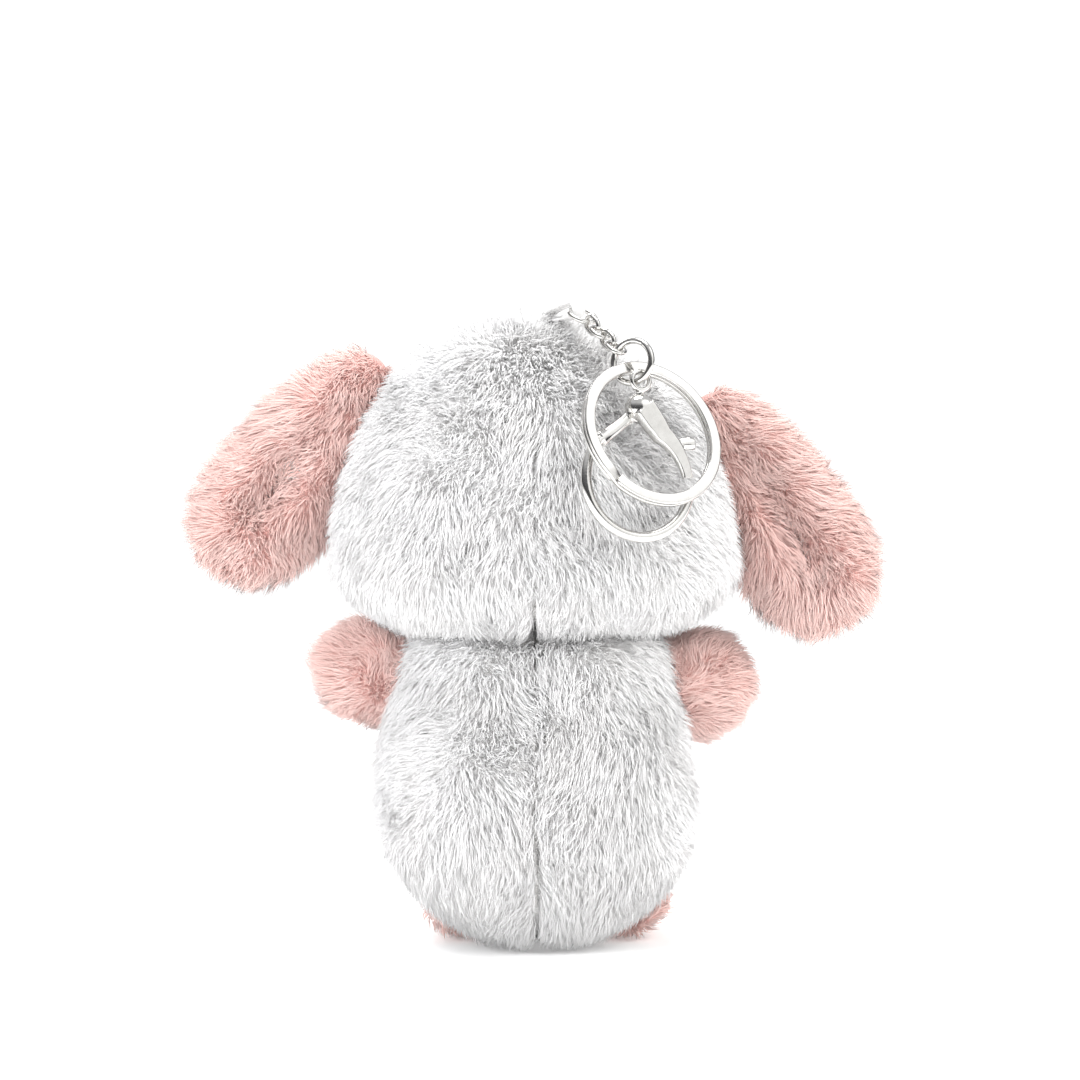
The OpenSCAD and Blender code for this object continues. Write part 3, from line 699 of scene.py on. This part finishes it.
for side, egg in EARS.items():
    v = ear_skin(egg, 31 if side == "left" else 32)
    body = f"{side}_ear"
    mid = egg.o[1]
    skin_piece(f"{side}_ear_front_cloth", v, ICO_FACES, PINK_SKIN, [((0, mid - EPS, 0), (0, 1, 0))],
               body=body, replaces=[f"{side}_ear_front_panel"])
    skin_piece(f"{side}_ear_back_cloth", v, ICO_FACES, PINK_SKIN, [((0, mid + EPS, 0), (0, -1, 0))],
               body=body, replaces=[f"{side}_ear_back_panel"])
    filling(f"{side}_ear_fill", egg.at(LOW5, EAR_INSET + 0.9), LOW5_F, body, f"{side}_ear_stuffing", 0.9, 61)

    def ear_comb(p, n, e=egg):
        q = e.local(p)
        out = np.c_[np.tanh(q[:, 0] / 5.0) * 0.45, np.zeros(len(q)), -0.5 - 0.2 * (q[:, 2] < -40)]
        return out @ e.r.T + swirl(p, 0.25, 0.35) * 0.8

    def ear_keep(p, e=egg):
        return e.local(p)[:, 2] < 6.5

    for face, s in (("front", -1), ("back", 1)):
        coat(f"{side}_ear_{face}", v, ICO_FACES, lambda p, s=s, m=mid: ((p[:, 1] - m) * s > 0) & ear_keep(p),
             ear_comb, PINK_FUR, body, "pink_plush", 201 + s + (10 if side == "left" else 20),
             top=(4.2, 5.0, 0.24), under=(5.5, 3.4, 0.28), rise=0.58)

# ---------------------------------------------------------------- arms

ARM_INSET = 2.0
for side, egg in ARMS.items():
    v = egg.at(DIRS, ARM_INSET)
    n = normals_of(v, ICO_FACES)
    v = v + n * (Ripple(41, 12.0)(v) * 0.4)[:, None]
    body = f"{side}_arm"
    centre = tuple(egg.o)
    # the seam plane runs along the arm
    cut = tuple(egg.r @ np.array([1.0, 0, 0]))
    anti = tuple(-np.array(cut))
    skin_piece(f"{side}_arm_upper_cloth", v, ICO_FACES, PINK_SKIN, [(centre, cut)], body=body,
               replaces=[f"{side}_arm_upper_panel"])
    skin_piece(f"{side}_arm_lower_cloth", v, ICO_FACES, PINK_SKIN, [(centre, anti)], body=body,
               replaces=[f"{side}_arm_lower_panel"])
    filling(f"{side}_arm_fill", egg.at(LOW5, ARM_INSET + 0.8), LOW5_F, body, f"{side}_arm_stuffing", 1.0, 71)

    def arm_comb(p, n, e=egg):
        return np.tile(e.r @ np.array([0, 0, 0.5]), (len(p), 1)) + swirl(p, 0.3, 0.4)

    for half, s in (("upper", -1), ("lower", 1)):
        coat(f"{side}_arm_{half}", v, ICO_FACES,
             lambda p, s=s, e=egg: (e.local(p)[:, 0] * s > 0) & (BODY.off(p) > -2.5) & (e.local(p)[:, 2] > -6),
             arm_comb, PINK_FUR, body, "pink_plush", 301 + s + (10 if side == "left" else 20),
             top=(4.2, 4.6, 0.24), under=(5.5, 3.2, 0.28))

# ---------------------------------------------------------------- legs


def leg_profile(x, inset):
    """A round-ended leg along -Y: a plump foot, a little narrower towards the body."""
    back, r = -8.0, LEG_R - inset
    ys, rs = [], []
    for a in np.linspace(2, 90, 18):
        ys.append(-FOOT + LEG_R - r * math.cos(math.radians(a)))
        rs.append(r * math.sin(math.radians(a)))
    for t in np.linspace(0.04, 1, 24):
        ys.append(-FOOT + LEG_R + t * (FOOT - LEG_R + back))
        rs.append(r * (1 - 0.10 * math.sin(math.pi * t)))
    ys += [back + 0.1]
    rs += [0.05 * r]
    ys, rs = np.array(ys), np.array(rs)
    path = np.c_[np.full(len(ys), x), ys, np.full(len(ys), LEG_R)]
    return path, rs


for side, x in LEG_X.items():
    path, rs = leg_profile(x, 2.4)
    a = np.linspace(0, 2 * math.pi, 56, endpoint=False)
    v, quads = tube(path, 1.0, sides=56, up=(0, 0, 1))
    rings = v.reshape(len(path), 56, 3)
    v = (path[:, None, :] + (rings - path[:, None, :]) * rs[:, None, None]).reshape(-1, 3)
    v[:, 2] = np.maximum(v[:, 2], 1.2)
    f = []
    for q in quads:
        if len(q) == 4:
            f += [(q[0], q[1], q[2]), (q[0], q[2], q[3])]
        else:
            f += [(q[0], q[i], q[i + 1]) for i in range(1, len(q) - 1)]
    f = np.array(f)
    n = normals_of(v, f)
    if ((v - path.mean(0)) * n).sum() < 0:
        f = f[:, ::-1].copy()
    sole_y = -FOOT + 4.0
    skin_piece(f"{side}_leg_cloth", v, f, PINK_SKIN, [((0, sole_y + EPS, 0), (0, -1, 0))],
               replaces=[f"{side}_leg_panel"])
    skin_piece(f"{side}_sole_cloth", v, f, SOLE_SKIN, [((0, sole_y - EPS, 0), (0, 1, 0))],
               replaces=[f"{side}_foot_sole"])
    path2, rs2 = leg_profile(x, 3.4)
    v2, quads2 = tube(path2, 1.0, sides=40, up=(0, 0, 1))
    rings = v2.reshape(len(path2), 40, 3)
    v2 = (path2[:, None, :] + (rings - path2[:, None, :]) * rs2[:, None, None]).reshape(-1, 3)
    f2 = []
    for q in quads2:
        f2 += [(q[0], q[i], q[i + 1]) for i in range(1, len(q) - 1)]
    f2 = np.array(f2)
    if ((v2 - path2.mean(0)) * normals_of(v2, f2)).sum() < 0:
        f2 = f2[:, ::-1].copy()
    filling(f"{side}_leg_fill", v2, f2, "plush", f"{side}_leg_stuffing", 0.6, 81)
    coat(f"{side}_leg", v, f, lambda p: (p[:, 1] > sole_y) & (BODY.off(p) > -2.0),
         lambda p, n: np.tile([0, -0.5, 0.0], (len(p), 1)) + swirl(p, 0.3, 0.4),
         PINK_FUR, "plush", "pink_plush", 401 + int(x), top=(4.0, 4.4, 0.26), under=(5.0, 3.0, 0.3))
    coat(f"{side}_sole", v, f, lambda p: p[:, 1] <= sole_y,
         lambda p, n: unit(np.stack([p[:, 0] - x, p[:, 1] * 0, p[:, 2] - LEG_R], 1)) * 0.3 + swirl(p, 0.1, 0.3),
         SOLE_FUR, "plush", "sole_plush", 501 + int(x), top=(5.0, 2.4, 0.22), under=(7.0, 1.8, 0.26))

# ---------------------------------------------------------------- seams and stitches


def arc_on(egg, inset, angles):
    """Points down the back of a form at x = 0, and their normals."""
    d = np.stack([np.zeros(len(angles)), np.cos(angles), np.sin(angles)], 1)
    p = egg.at(d, inset)
    q = p - egg.o
    h = np.where(q[:, 2] > 0, egg.up, egg.dn)
    n = unit(np.stack([q[:, 0] / egg.w ** 2, q[:, 1] / egg.d ** 2, q[:, 2] / h ** 2], 1))
    return p, n


def stitched_seam(name, path, normals, node, width=0.5, pitch=2.4):
    """Two turned edges sewn together, with a ladder of thread across them."""
    section = [(-width, -0.9), (width, -0.9), (width, 0.12), (width * 0.45, 0.3), (0.0, 0.08),
               (-width * 0.45, 0.3), (-width, 0.12)]
    parts = [tube(path, 1.0, section=section, up=normals)]
    seg = np.linalg.norm(np.diff(path, axis=0), axis=1)
    s = np.r_[0, np.cumsum(seg)]
    for k, at in enumerate(np.arange(pitch, s[-1] - pitch, pitch)):
        p = np.array([np.interp(at, s, path[:, i]) for i in range(3)])
        i = int(np.searchsorted(s, at))
        n = normals[min(i, len(normals) - 1)]
        t = unit(path[min(i, len(path) - 1)] - path[max(i - 1, 0)])
        across = np.cross(t, n)
        ts = np.linspace(-1, 1, 7)
        q = [p + across * (0.62 * u) + n * (0.36 * (1 - u * u)) + t * (0.4 * u * (1 if k % 2 else -1))
             for u in ts]
        parts.append(tube(np.array(q), 0.14, sides=6))
    ob = poly_mesh(name, *joined(parts), SEAM)
    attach(ob, "plush")
    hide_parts(node)
    return ob


hp, hn = arc_on(HEAD, HEAD_INSET + 1.5, np.radians(np.linspace(88, -42, 70)))
stitched_seam("head_back_seam_stitches", hp, hn, "head_back_seam")
bp, bn = arc_on(BODY, BODY_INSET + 1.5, np.radians(np.linspace(52, -46, 60)))
stitched_seam("body_back_seam_stitches", bp, bn, "body_back_seam")

# gathered neck edge: a puckered band round the top of the body where it meets the head
ang = np.linspace(0, 2 * math.pi, 240, endpoint=False)
neck = []
for a in ang:
    lo, hi = 20.0, 73.0
    for _ in range(26):
        z = (lo + hi) / 2
        k = math.sqrt(max(0.0, 1 - ((z - BODY.o[2]) / (BODY.up - 3)) ** 2))
        q = np.array([[31 * k * math.cos(a), 26 * k * math.sin(a), z]])
        if HEAD.off(q)[0] > -0.4:
            lo = z
        else:
            hi = z
    neck.append(q[0])
neck = np.array(neck)
pucker = 0.5 + 0.14 * np.sin(ang * 38)
v, f = tube(neck, pucker, closed=True, sides=10)
ob = poly_mesh("neck_gather", v, f, SEAM)
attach(ob, "plush")
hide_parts("neck_seam")


# mouth: two-ply thread in two small curves below the nose
def face_y(x, z, grow=0.0):
    level = HEAD.o[2]
    h = (HEAD.up if z > level else HEAD.dn) + grow
    return -(HEAD.d + grow) * math.sqrt(max(0.0, 1 - (x / (HEAD.w + grow)) ** 2 - ((z - level) / h) ** 2))


mouth = []
for s in (-1, 1):
    line = []
    for a in np.linspace(math.radians(190), math.radians(350), 40):
        x, z = s * 2.6 + 2.5 * math.cos(a), 71.9 + 2.5 * math.sin(a)
        line.append((x, face_y(x, z) - 0.25, z))
    line = np.array(line)
    t = unit(np.gradient(line, axis=0))
    u = np.array([0, -1.0, 0])
    w = np.cross(t, u)
    for ph in (0, math.pi):
        tw = np.linspace(0, 2 * math.pi * 7, len(line)) + ph
        mouth.append(tube(line + 0.2 * (np.cos(tw)[:, None] * u + np.sin(tw)[:, None] * w), 0.27, sides=8))
ob = poly_mesh("mouth_thread", *joined(mouth), THREAD)
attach(ob, "plush")
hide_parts("mouth_stitch")

for name, mat in (("left_eye", EYE), ("right_eye", EYE), ("nose", NOSE), ("left_eye_washer", WASHER),
                  ("right_eye_washer", WASHER), ("nose_washer", WASHER), ("clasp_pivot", NICKEL)):
    ob = cad_nodes[name]
    ob.data.materials.clear()
    ob.data.materials.append(mat)

# ---------------------------------------------------------------- hardware

START, HEADING, PITCH = np.array([-8, 12.4, 127.3]), 125.6, 31.0
CHAIN = turn("z", HEADING) @ turn("y", PITCH)
RIBBON_LIFT = 40.0


def along_chain(p):
    return np.asarray(p, float) @ CHAIN.T + START


def faced(face, roll=0.0):
    return turn("z", face[2]) @ turn("x", face[0]) @ turn("y", roll)


def on_ring(face, r, a):
    return faced(face) @ np.array([r * math.cos(math.radians(a)), 0, r * math.sin(math.radians(a))])


WIRE, LINK_LEN, JUMP_R, LINK_HW, GAP = 0.9, 5.0, 2.7, 1.45, 0.2
HALF = (LINK_LEN - WIRE) / 2
FIRST = 2 * JUMP_R - (WIRE + GAP) + HALF
STEP = 2 * HALF - (WIRE + GAP)
LINKING_WIRE, LINKING_R = 1.3, (9.6 - 1.3) / 2
END = FIRST + 3 * STEP + HALF - (WIRE + LINKING_WIRE) / 2 - GAP
LINK_FACE, SPLIT_FACE, CLASP_FACE, CLASP_ROLL = (8.6, 0, -30.5), (24.4, 0, 31.4), (11.5, 0, 24.2), -4.8
LINK_C = along_chain([END, 0, 0]) - on_ring(LINK_FACE, LINKING_R, 35)
CLASP_C = LINK_C + on_ring(LINK_FACE, LINKING_R + 0.15, -120)
SPLIT_C = LINK_C + on_ring(LINK_FACE, 1.7, -54.4) - on_ring(SPLIT_FACE, 13.9, 82)


def metal(ob, body, node):
    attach(ob, body)
    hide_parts(node)
    return ob


# first ring: bent wire with its ends not quite meeting
a = np.radians(np.linspace(8, 352, 72)) + math.radians(60)
ring = np.c_[JUMP_R + JUMP_R * np.cos(a), JUMP_R * np.sin(a), np.zeros(len(a))]
rad = np.full(len(a), WIRE / 2)
rad[[0, -1]] *= 0.72
metal(poly_mesh("jump_ring_wire", *tube(along_chain(ring), rad, sides=20), NICKEL), "jump_ring", "jump_ring")

# oval links of round wire, each with its butt joint
run = HALF - LINK_HW
for i in range(1, 5):
    pts = []
    for a in np.linspace(-90, 90, 22):
        pts.append((run + LINK_HW * math.cos(math.radians(a)), LINK_HW * math.sin(math.radians(a)), 0))
    pts += [(run * (1 - 2 * t), LINK_HW, 0) for t in (0.25, 0.46, 0.475, 0.5, 0.525, 0.54, 0.75)]
    for a in np.linspace(90, 270, 22):
        pts.append((-run + LINK_HW * math.cos(math.radians(a)), LINK_HW * math.sin(math.radians(a)), 0))
    pts += [(-run * (1 - 2 * t), -LINK_HW, 0) for t in (0.33, 0.67)]
    pts = np.array(pts)
    rad = np.full(len(pts), WIRE / 2)
    rad[25] = WIRE / 2 - 0.09
    pts = pts @ turn("x", (i % 2) * 90).T + np.array([FIRST + (i - 1) * STEP, 0, 0])
    metal(poly_mesh(f"chain_link_{i}_wire", *tube(along_chain(pts), rad, closed=True, sides=18), NICKEL),
          f"chain_link_{i}", f"chain_link_{i}")

# linking ring
a = np.linspace(0, 2 * math.pi, 120, endpoint=False)
ring = np.c_[LINKING_R * np.cos(a), np.zeros(len(a)), LINKING_R * np.sin(a)]
rad = np.full(len(a), LINKING_WIRE / 2)
rad[40] = LINKING_WIRE / 2 - 0.12
metal(poly_mesh("linking_ring_wire", *tube(ring @ faced(LINK_FACE).T + LINK_C, rad, closed=True, sides=24),
                NICKEL), "linking_ring", "linking_ring")

# split ring: two turns of flat wire that step across each other
R, W, T = 13.9, 2.2, 0.96
th = np.linspace(0, 4 * math.pi - math.radians(3), 400)
cross = np.clip((th - 2 * math.pi + math.radians(9)) / math.radians(18), 0, 1)
cross = cross * cross * (3 - 2 * cross)
shift = -0.5 + cross
a = th + math.radians(-40)
spiral = np.c_[R * np.cos(a), shift, R * np.sin(a)]
outline = []
for cx, cy, a0 in ((W / 2 - 0.3, T / 2 - 0.3, 0), (-W / 2 + 0.3, T / 2 - 0.3, 90),
                   (-W / 2 + 0.3, -T / 2 + 0.3, 180), (W / 2 - 0.3, -T / 2 + 0.3, 270)):
    for b in np.linspace(a0, a0 + 90, 5):
        outline.append((cx + 0.3 * math.cos(math.radians(b)), cy + 0.3 * math.sin(math.radians(b))))
outline = np.array(outline)
SF = faced(SPLIT_FACE)
ups = np.tile(SF @ np.array([0, 1.0, 0]), (len(a), 1))
size = np.ones(len(a))
size[[0, -1]] = 0.9
metal(poly_mesh("split_ring_coil", *tube(spiral @ SF.T + SPLIT_C, size, section=outline, up=ups), NICKEL),
      "split_ring", "split_ring")

# clasp, in its own plane: x across, y towards the viewer from behind, z up; its eye is at the origin
CF = faced(CLASP_FACE, CLASP_ROLL)


def clasp(v):
    return np.asarray(v, float) @ CF.T + CLASP_C


def place(part):
    return clasp(part[0]), part[1]


HUB, HOOK_X, HOOK_Z, HOOK_R, HOOK_WIRE = -5.4, 0.8, -19.8, 10.9, 2.2
eye_a = np.linspace(0, 2 * math.pi, 48, endpoint=False)
eye = tube(np.c_[1.85 * np.cos(eye_a), 0 * eye_a, 1.85 * np.sin(eye_a)], 0.52, closed=True, sides=12)
neck_t = np.linspace(0, 1, 10)[:, None]
neck_part = tube(np.array([0, -0.35, -2.0]) * (1 - neck_t) + np.array([0, -1.0, HUB]) * neck_t, 0.8, sides=12)
disc_y = np.array([-1.5, -1.42, -1.25, -0.35, -0.18, -0.1])
disc = tube(np.c_[0 * disc_y, disc_y, 0 * disc_y + HUB], [2.55, 2.75, 2.9, 2.9, 2.8, 2.6], sides=40)
ha = np.radians(np.linspace(184, 404, 110))
hook_path = np.c_[HOOK_R * np.cos(ha) + HOOK_X, 0 * ha, HOOK_R * np.sin(ha) + HOOK_Z]
s = np.linspace(0, 1, len(ha))
hook_rad = HOOK_WIRE / 2 * (0.92 + 0.08 * np.sin(math.pi * s)) * np.clip(0.6 + s * 14, 0, 1)
hook_part = tube(hook_path, hook_rad, sides=18)
end = hook_path[-1]
at = np.linspace(0, 1, 24)[:, None]
arm_path = (1 - at) ** 2 * np.array([0.3, -1.0, HUB - 0.2]) + 2 * (1 - at) * at * np.array(
    [4.6, -1.1, -9.6]) + at ** 2 * end
arm_part = tube(arm_path, np.interp(at[:, 0], [0, 0.35, 0.8, 1], [1.5, 1.15, 1.35, 1.75]), sides=20, flat=0.62,
                up=(0, 1, 0))
casting = [place(p) for p in (eye, neck_part, disc, hook_part, arm_part)]
metal(remeshed("clasp_casting", casting, NICKEL, 0.17, 5), "clasp", "clasp_body")

# lever: a domed head over the hub, a tail that sweeps round to the hook's tip, and a thumb tab
dome_y = np.array([0.03, 0.3, 0.9, 1.4, 1.85, 2.2, 2.42, 2.5])
dome = tube(np.c_[0 * dome_y, dome_y, 0 * dome_y + HUB], [2.95, 3.05, 2.95, 2.65, 2.1, 1.4, 0.75, 0.12],
            sides=36)
dome[0][:, 2] = HUB + (dome[0][:, 2] - HUB) * 0.88
bow_c, bow_r = np.array([3.0, -21.0]), 12.75
ba = np.radians(np.linspace(124, 169, 36))
bow = np.c_[bow_c[0] + bow_r * np.cos(ba), np.full(36, 0.5), bow_c[1] + bow_r * np.sin(ba)]
lead_t = np.linspace(0, 0.9, 14)[:, None]
lead = np.array([0.1, 0.9, HUB]) * (1 - lead_t) + bow[0] * lead_t
tail = np.concatenate([lead, bow])
tr = np.interp(np.linspace(0, 1, len(tail)), [0, 0.18, 0.32, 0.6, 1.0], [2.5, 2.35, 1.95, 1.45, 1.0])
# a flat-topped section with steep sides, so that the lever shows an edge
half = np.radians(np.arange(0, 360, 15))
lever_section = np.c_[np.cos(half), np.clip(1.15 * np.sin(half), -0.5, 0.62)]
tail_part = tube(tail, tr, section=lever_section, up=(0, 1, 0))
tab_t = np.linspace(0, 1, 14)[:, None]
tab_path = np.array([-5.0, 0.4, -12.2]) * (1 - tab_t) + np.array([-11.0, 0.5, -11.6]) * tab_t
tab = tube(tab_path, np.interp(tab_t[:, 0], [0, 0.4, 0.85, 1.0], [1.3, 1.05, 1.45, 1.25]), sides=20, flat=0.7,
           up=(0, 1, 0))
metal(remeshed("clasp_lever_casting", [place(p) for p in (dome, tail_part, tab)], NICKEL, 0.15, 4),
      "clasp_lever", "clasp_lever")

# the lever's spring: fine wire coiled round the pivot, its two legs braced on hub and lever
sa = np.linspace(0, 2 * math.pi * 2.2, 110)
coil = np.c_[1.28 * np.cos(sa), 0.02 + 0.2 * sa / (2 * math.pi), 1.28 * np.sin(sa) + HUB]
legs = np.concatenate([coil[:1] + np.array([[0.0, 0.0, 0.5]]), coil,
                       coil[-1:] + np.array([[-0.3, 0.02, -0.35]])])
metal(poly_mesh("clasp_spring_coil", *place(tube(legs, 0.12, sides=8)), SPRING), "clasp", "clasp_spring")

# ribbon loop: a strip folded round the first ring, its ends sewn into the crown
LIFT = turn("y", -RIBBON_LIFT)


def ribbon_place(p):
    return along_chain(np.asarray(p, float) @ LIFT.T)


rp = []
for t in np.linspace(0, 1, 12):
    rp.append((-9.0 + 7.2 * t, 0, -0.75 - 0.65 * math.sin(t * math.pi / 2)))
for a in np.radians(np.linspace(-100, 100, 26)):
    rp.append((-0.45 + 1.45 * math.cos(a), 0, 1.42 * math.sin(a)))
for t in np.linspace(1, 0, 12):
    rp.append((-9.0 + 7.2 * t, 0, 0.75 + 0.65 * math.sin(t * math.pi / 2)))
rp = np.array(rp)
rib_section = [(-1.6, -0.1), (-1.45, -0.24), (1.45, -0.24), (1.6, -0.1),
               (1.6, 0.1), (1.45, 0.24), (-1.45, 0.24), (-1.6, 0.1)]
tang = unit(np.gradient(rp, axis=0))
rup = np.cross(tang, np.array([0, 1.0, 0]))
strip_v, strip_f = tube(rp, 1.0, section=rib_section, up=rup)
ribbon = poly_mesh("ribbon_strip", ribbon_place(strip_v), strip_f, RIBBON)
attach(ribbon, "plush")
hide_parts("ribbon_loop")

# ---------------------------------------------------------------- floor, light and camera


def seen_directly(nt):
    """1 where the eye meets a surface or the room without a bounce, else 0."""
    return nt.nodes.new("ShaderNodeLightPath").outputs["Is Camera Ray"]


def floor_material(name, base, glow, fade_from, fade_to):
    """Pale paper round the toy that turns into the plain white of the room further out."""
    mat, nt, bsdf = new_material(name)
    n = noise_node(nt, 3.0, 2.0)
    c = ramp(nt, n.outputs[0], [(0.0, tuple(b * 0.985 for b in base)), (1.0, base)])
    nt.links.new(c.outputs[0], bsdf.inputs["Base Color"])
    bsdf.inputs["Roughness"].default_value = 0.9
    bsdf.inputs["Specular IOR Level"].default_value = 0.1
    bsdf.inputs["Emission Color"].default_value = (1, 1, 1, 1)
    bsdf.inputs["Emission Strength"].default_value = glow
    place = nt.nodes.new("ShaderNodeNewGeometry")
    reach = nt.nodes.new("ShaderNodeVectorMath")
    reach.operation = "LENGTH"
    nt.links.new(place.outputs["Position"], reach.inputs[0])
    fade = nt.nodes.new("ShaderNodeMapRange")
    fade.inputs["From Min"].default_value = fade_from
    fade.inputs["From Max"].default_value = fade_to
    nt.links.new(reach.outputs["Value"], fade.inputs["Value"])
    share = nt.nodes.new("ShaderNodeMath")
    share.operation = "MULTIPLY"
    nt.links.new(fade.outputs["Result"], share.inputs[0])
    nt.links.new(seen_directly(nt), share.inputs[1])
    white = nt.nodes.new("ShaderNodeEmission")
    white.inputs["Strength"].default_value = ROOM_WHITE
    both = nt.nodes.new("ShaderNodeMixShader")
    nt.links.new(share.outputs[0], both.inputs[0])
    nt.links.new(bsdf.outputs[0], both.inputs[1])
    nt.links.new(white.outputs[0], both.inputs[2])
    nt.links.new(both.outputs[0], nt.nodes["Material Output"].inputs["Surface"])
    return mat


# a round floor, the same from every side
ROOM_WHITE = 1.15
FLOOR_R = 4000.0
rim = np.linspace(0, 2 * math.pi, 64, endpoint=False)
floor = poly_mesh("studio_floor", [(FLOOR_R * math.cos(a), FLOOR_R * math.sin(a), 0.0) for a in rim],
                  [tuple(range(len(rim)))], floor_material("pale_paper", (0.93, 0.93, 0.93), 0.22, 0.25, 0.8))


def area_light(name, pos, target, size, power, colour=(1, 1, 1), in_metal=True):
    """A round soft light; in_metal says whether it shows as a highlight."""
    li = bpy.data.lights.new(name, "AREA")
    li.shape = "DISK"
    li.size = size
    li.energy = power
    li.color = colour
    ob = bpy.data.objects.new(name, li)
    bpy.context.scene.collection.objects.link(ob)
    ob.location = pos
    ob.rotation_euler = (Vector(target) - Vector(pos)).to_track_quat("-Z", "Y").to_euler()
    ob.visible_glossy = in_metal
    return ob


MIDDLE = (0, 0, 0.075)
area_light("key", (-0.74, 0.52, 0.60), MIDDLE, 0.85, 6.0, (1.0, 0.995, 0.985), in_metal=False)
area_light("fill", (0.62, 0.60, 0.42), MIDDLE, 0.50, 5.8, (0.985, 0.99, 1.0), in_metal=False)
area_light("top", (0.0, 0.0, 0.95), MIDDLE, 0.6, 4.0)
area_light("front", (0.25, -0.8, 0.45), MIDDLE, 0.6, 7.0)

# the room: dim at eye level, paler above, with one broad bright panel that the flat metal faces mirror
PANEL = unit([-0.76, 0.42, 0.50])
world = bpy.data.worlds.new("studio")
world.use_nodes = True
bpy.context.scene.world = world
wn = world.node_tree
bg = wn.nodes["Background"]
tc = wn.nodes.new("ShaderNodeTexCoord")
sep = wn.nodes.new("ShaderNodeSeparateXYZ")
wn.links.new(tc.outputs["Generated"], sep.inputs[0])
room = ramp(wn, sep.outputs["Z"], [(0.0, (0.20, 0.20, 0.205)), (0.05, (0.055, 0.055, 0.057)),
                                   (0.40, (0.15, 0.15, 0.155)), (0.70, (0.62, 0.62, 0.63))])
dot = wn.nodes.new("ShaderNodeVectorMath")
dot.operation = "DOT_PRODUCT"
dot.inputs[1].default_value = PANEL
wn.links.new(tc.outputs["Generated"], dot.inputs[0])
panel = ramp(wn, dot.outputs["Value"], [(0.80, (0, 0, 0)), (0.88, (0.95, 0.95, 0.94))])
lit = mix(wn, 1.0, room.outputs[0], panel.outputs[0], "ADD")
wn.links.new(mix(wn, seen_directly(wn), lit, (1.0, 1.0, 1.0)), bg.inputs["Color"])
bg.inputs["Strength"].default_value = ROOM_WHITE

cam_data = bpy.data.cameras.new("camera")
cam = bpy.data.objects.new("camera", cam_data)
bpy.context.scene.collection.objects.link(cam)
cam_data.sensor_width = 36.0
cam_data.lens = 122.5
target = Vector((-0.001, 0.0, 0.0816))
elev = math.radians(1.5)
cam.location = target + Vector((0, math.cos(elev), math.sin(elev))) * 0.735
cam.rotation_euler = (target - cam.location).to_track_quat("-Z", "Y").to_euler()
cam_data.clip_start = 0.01
bpy.context.scene.camera = cam
bpy.context.scene.view_settings.view_transform = "Standard"
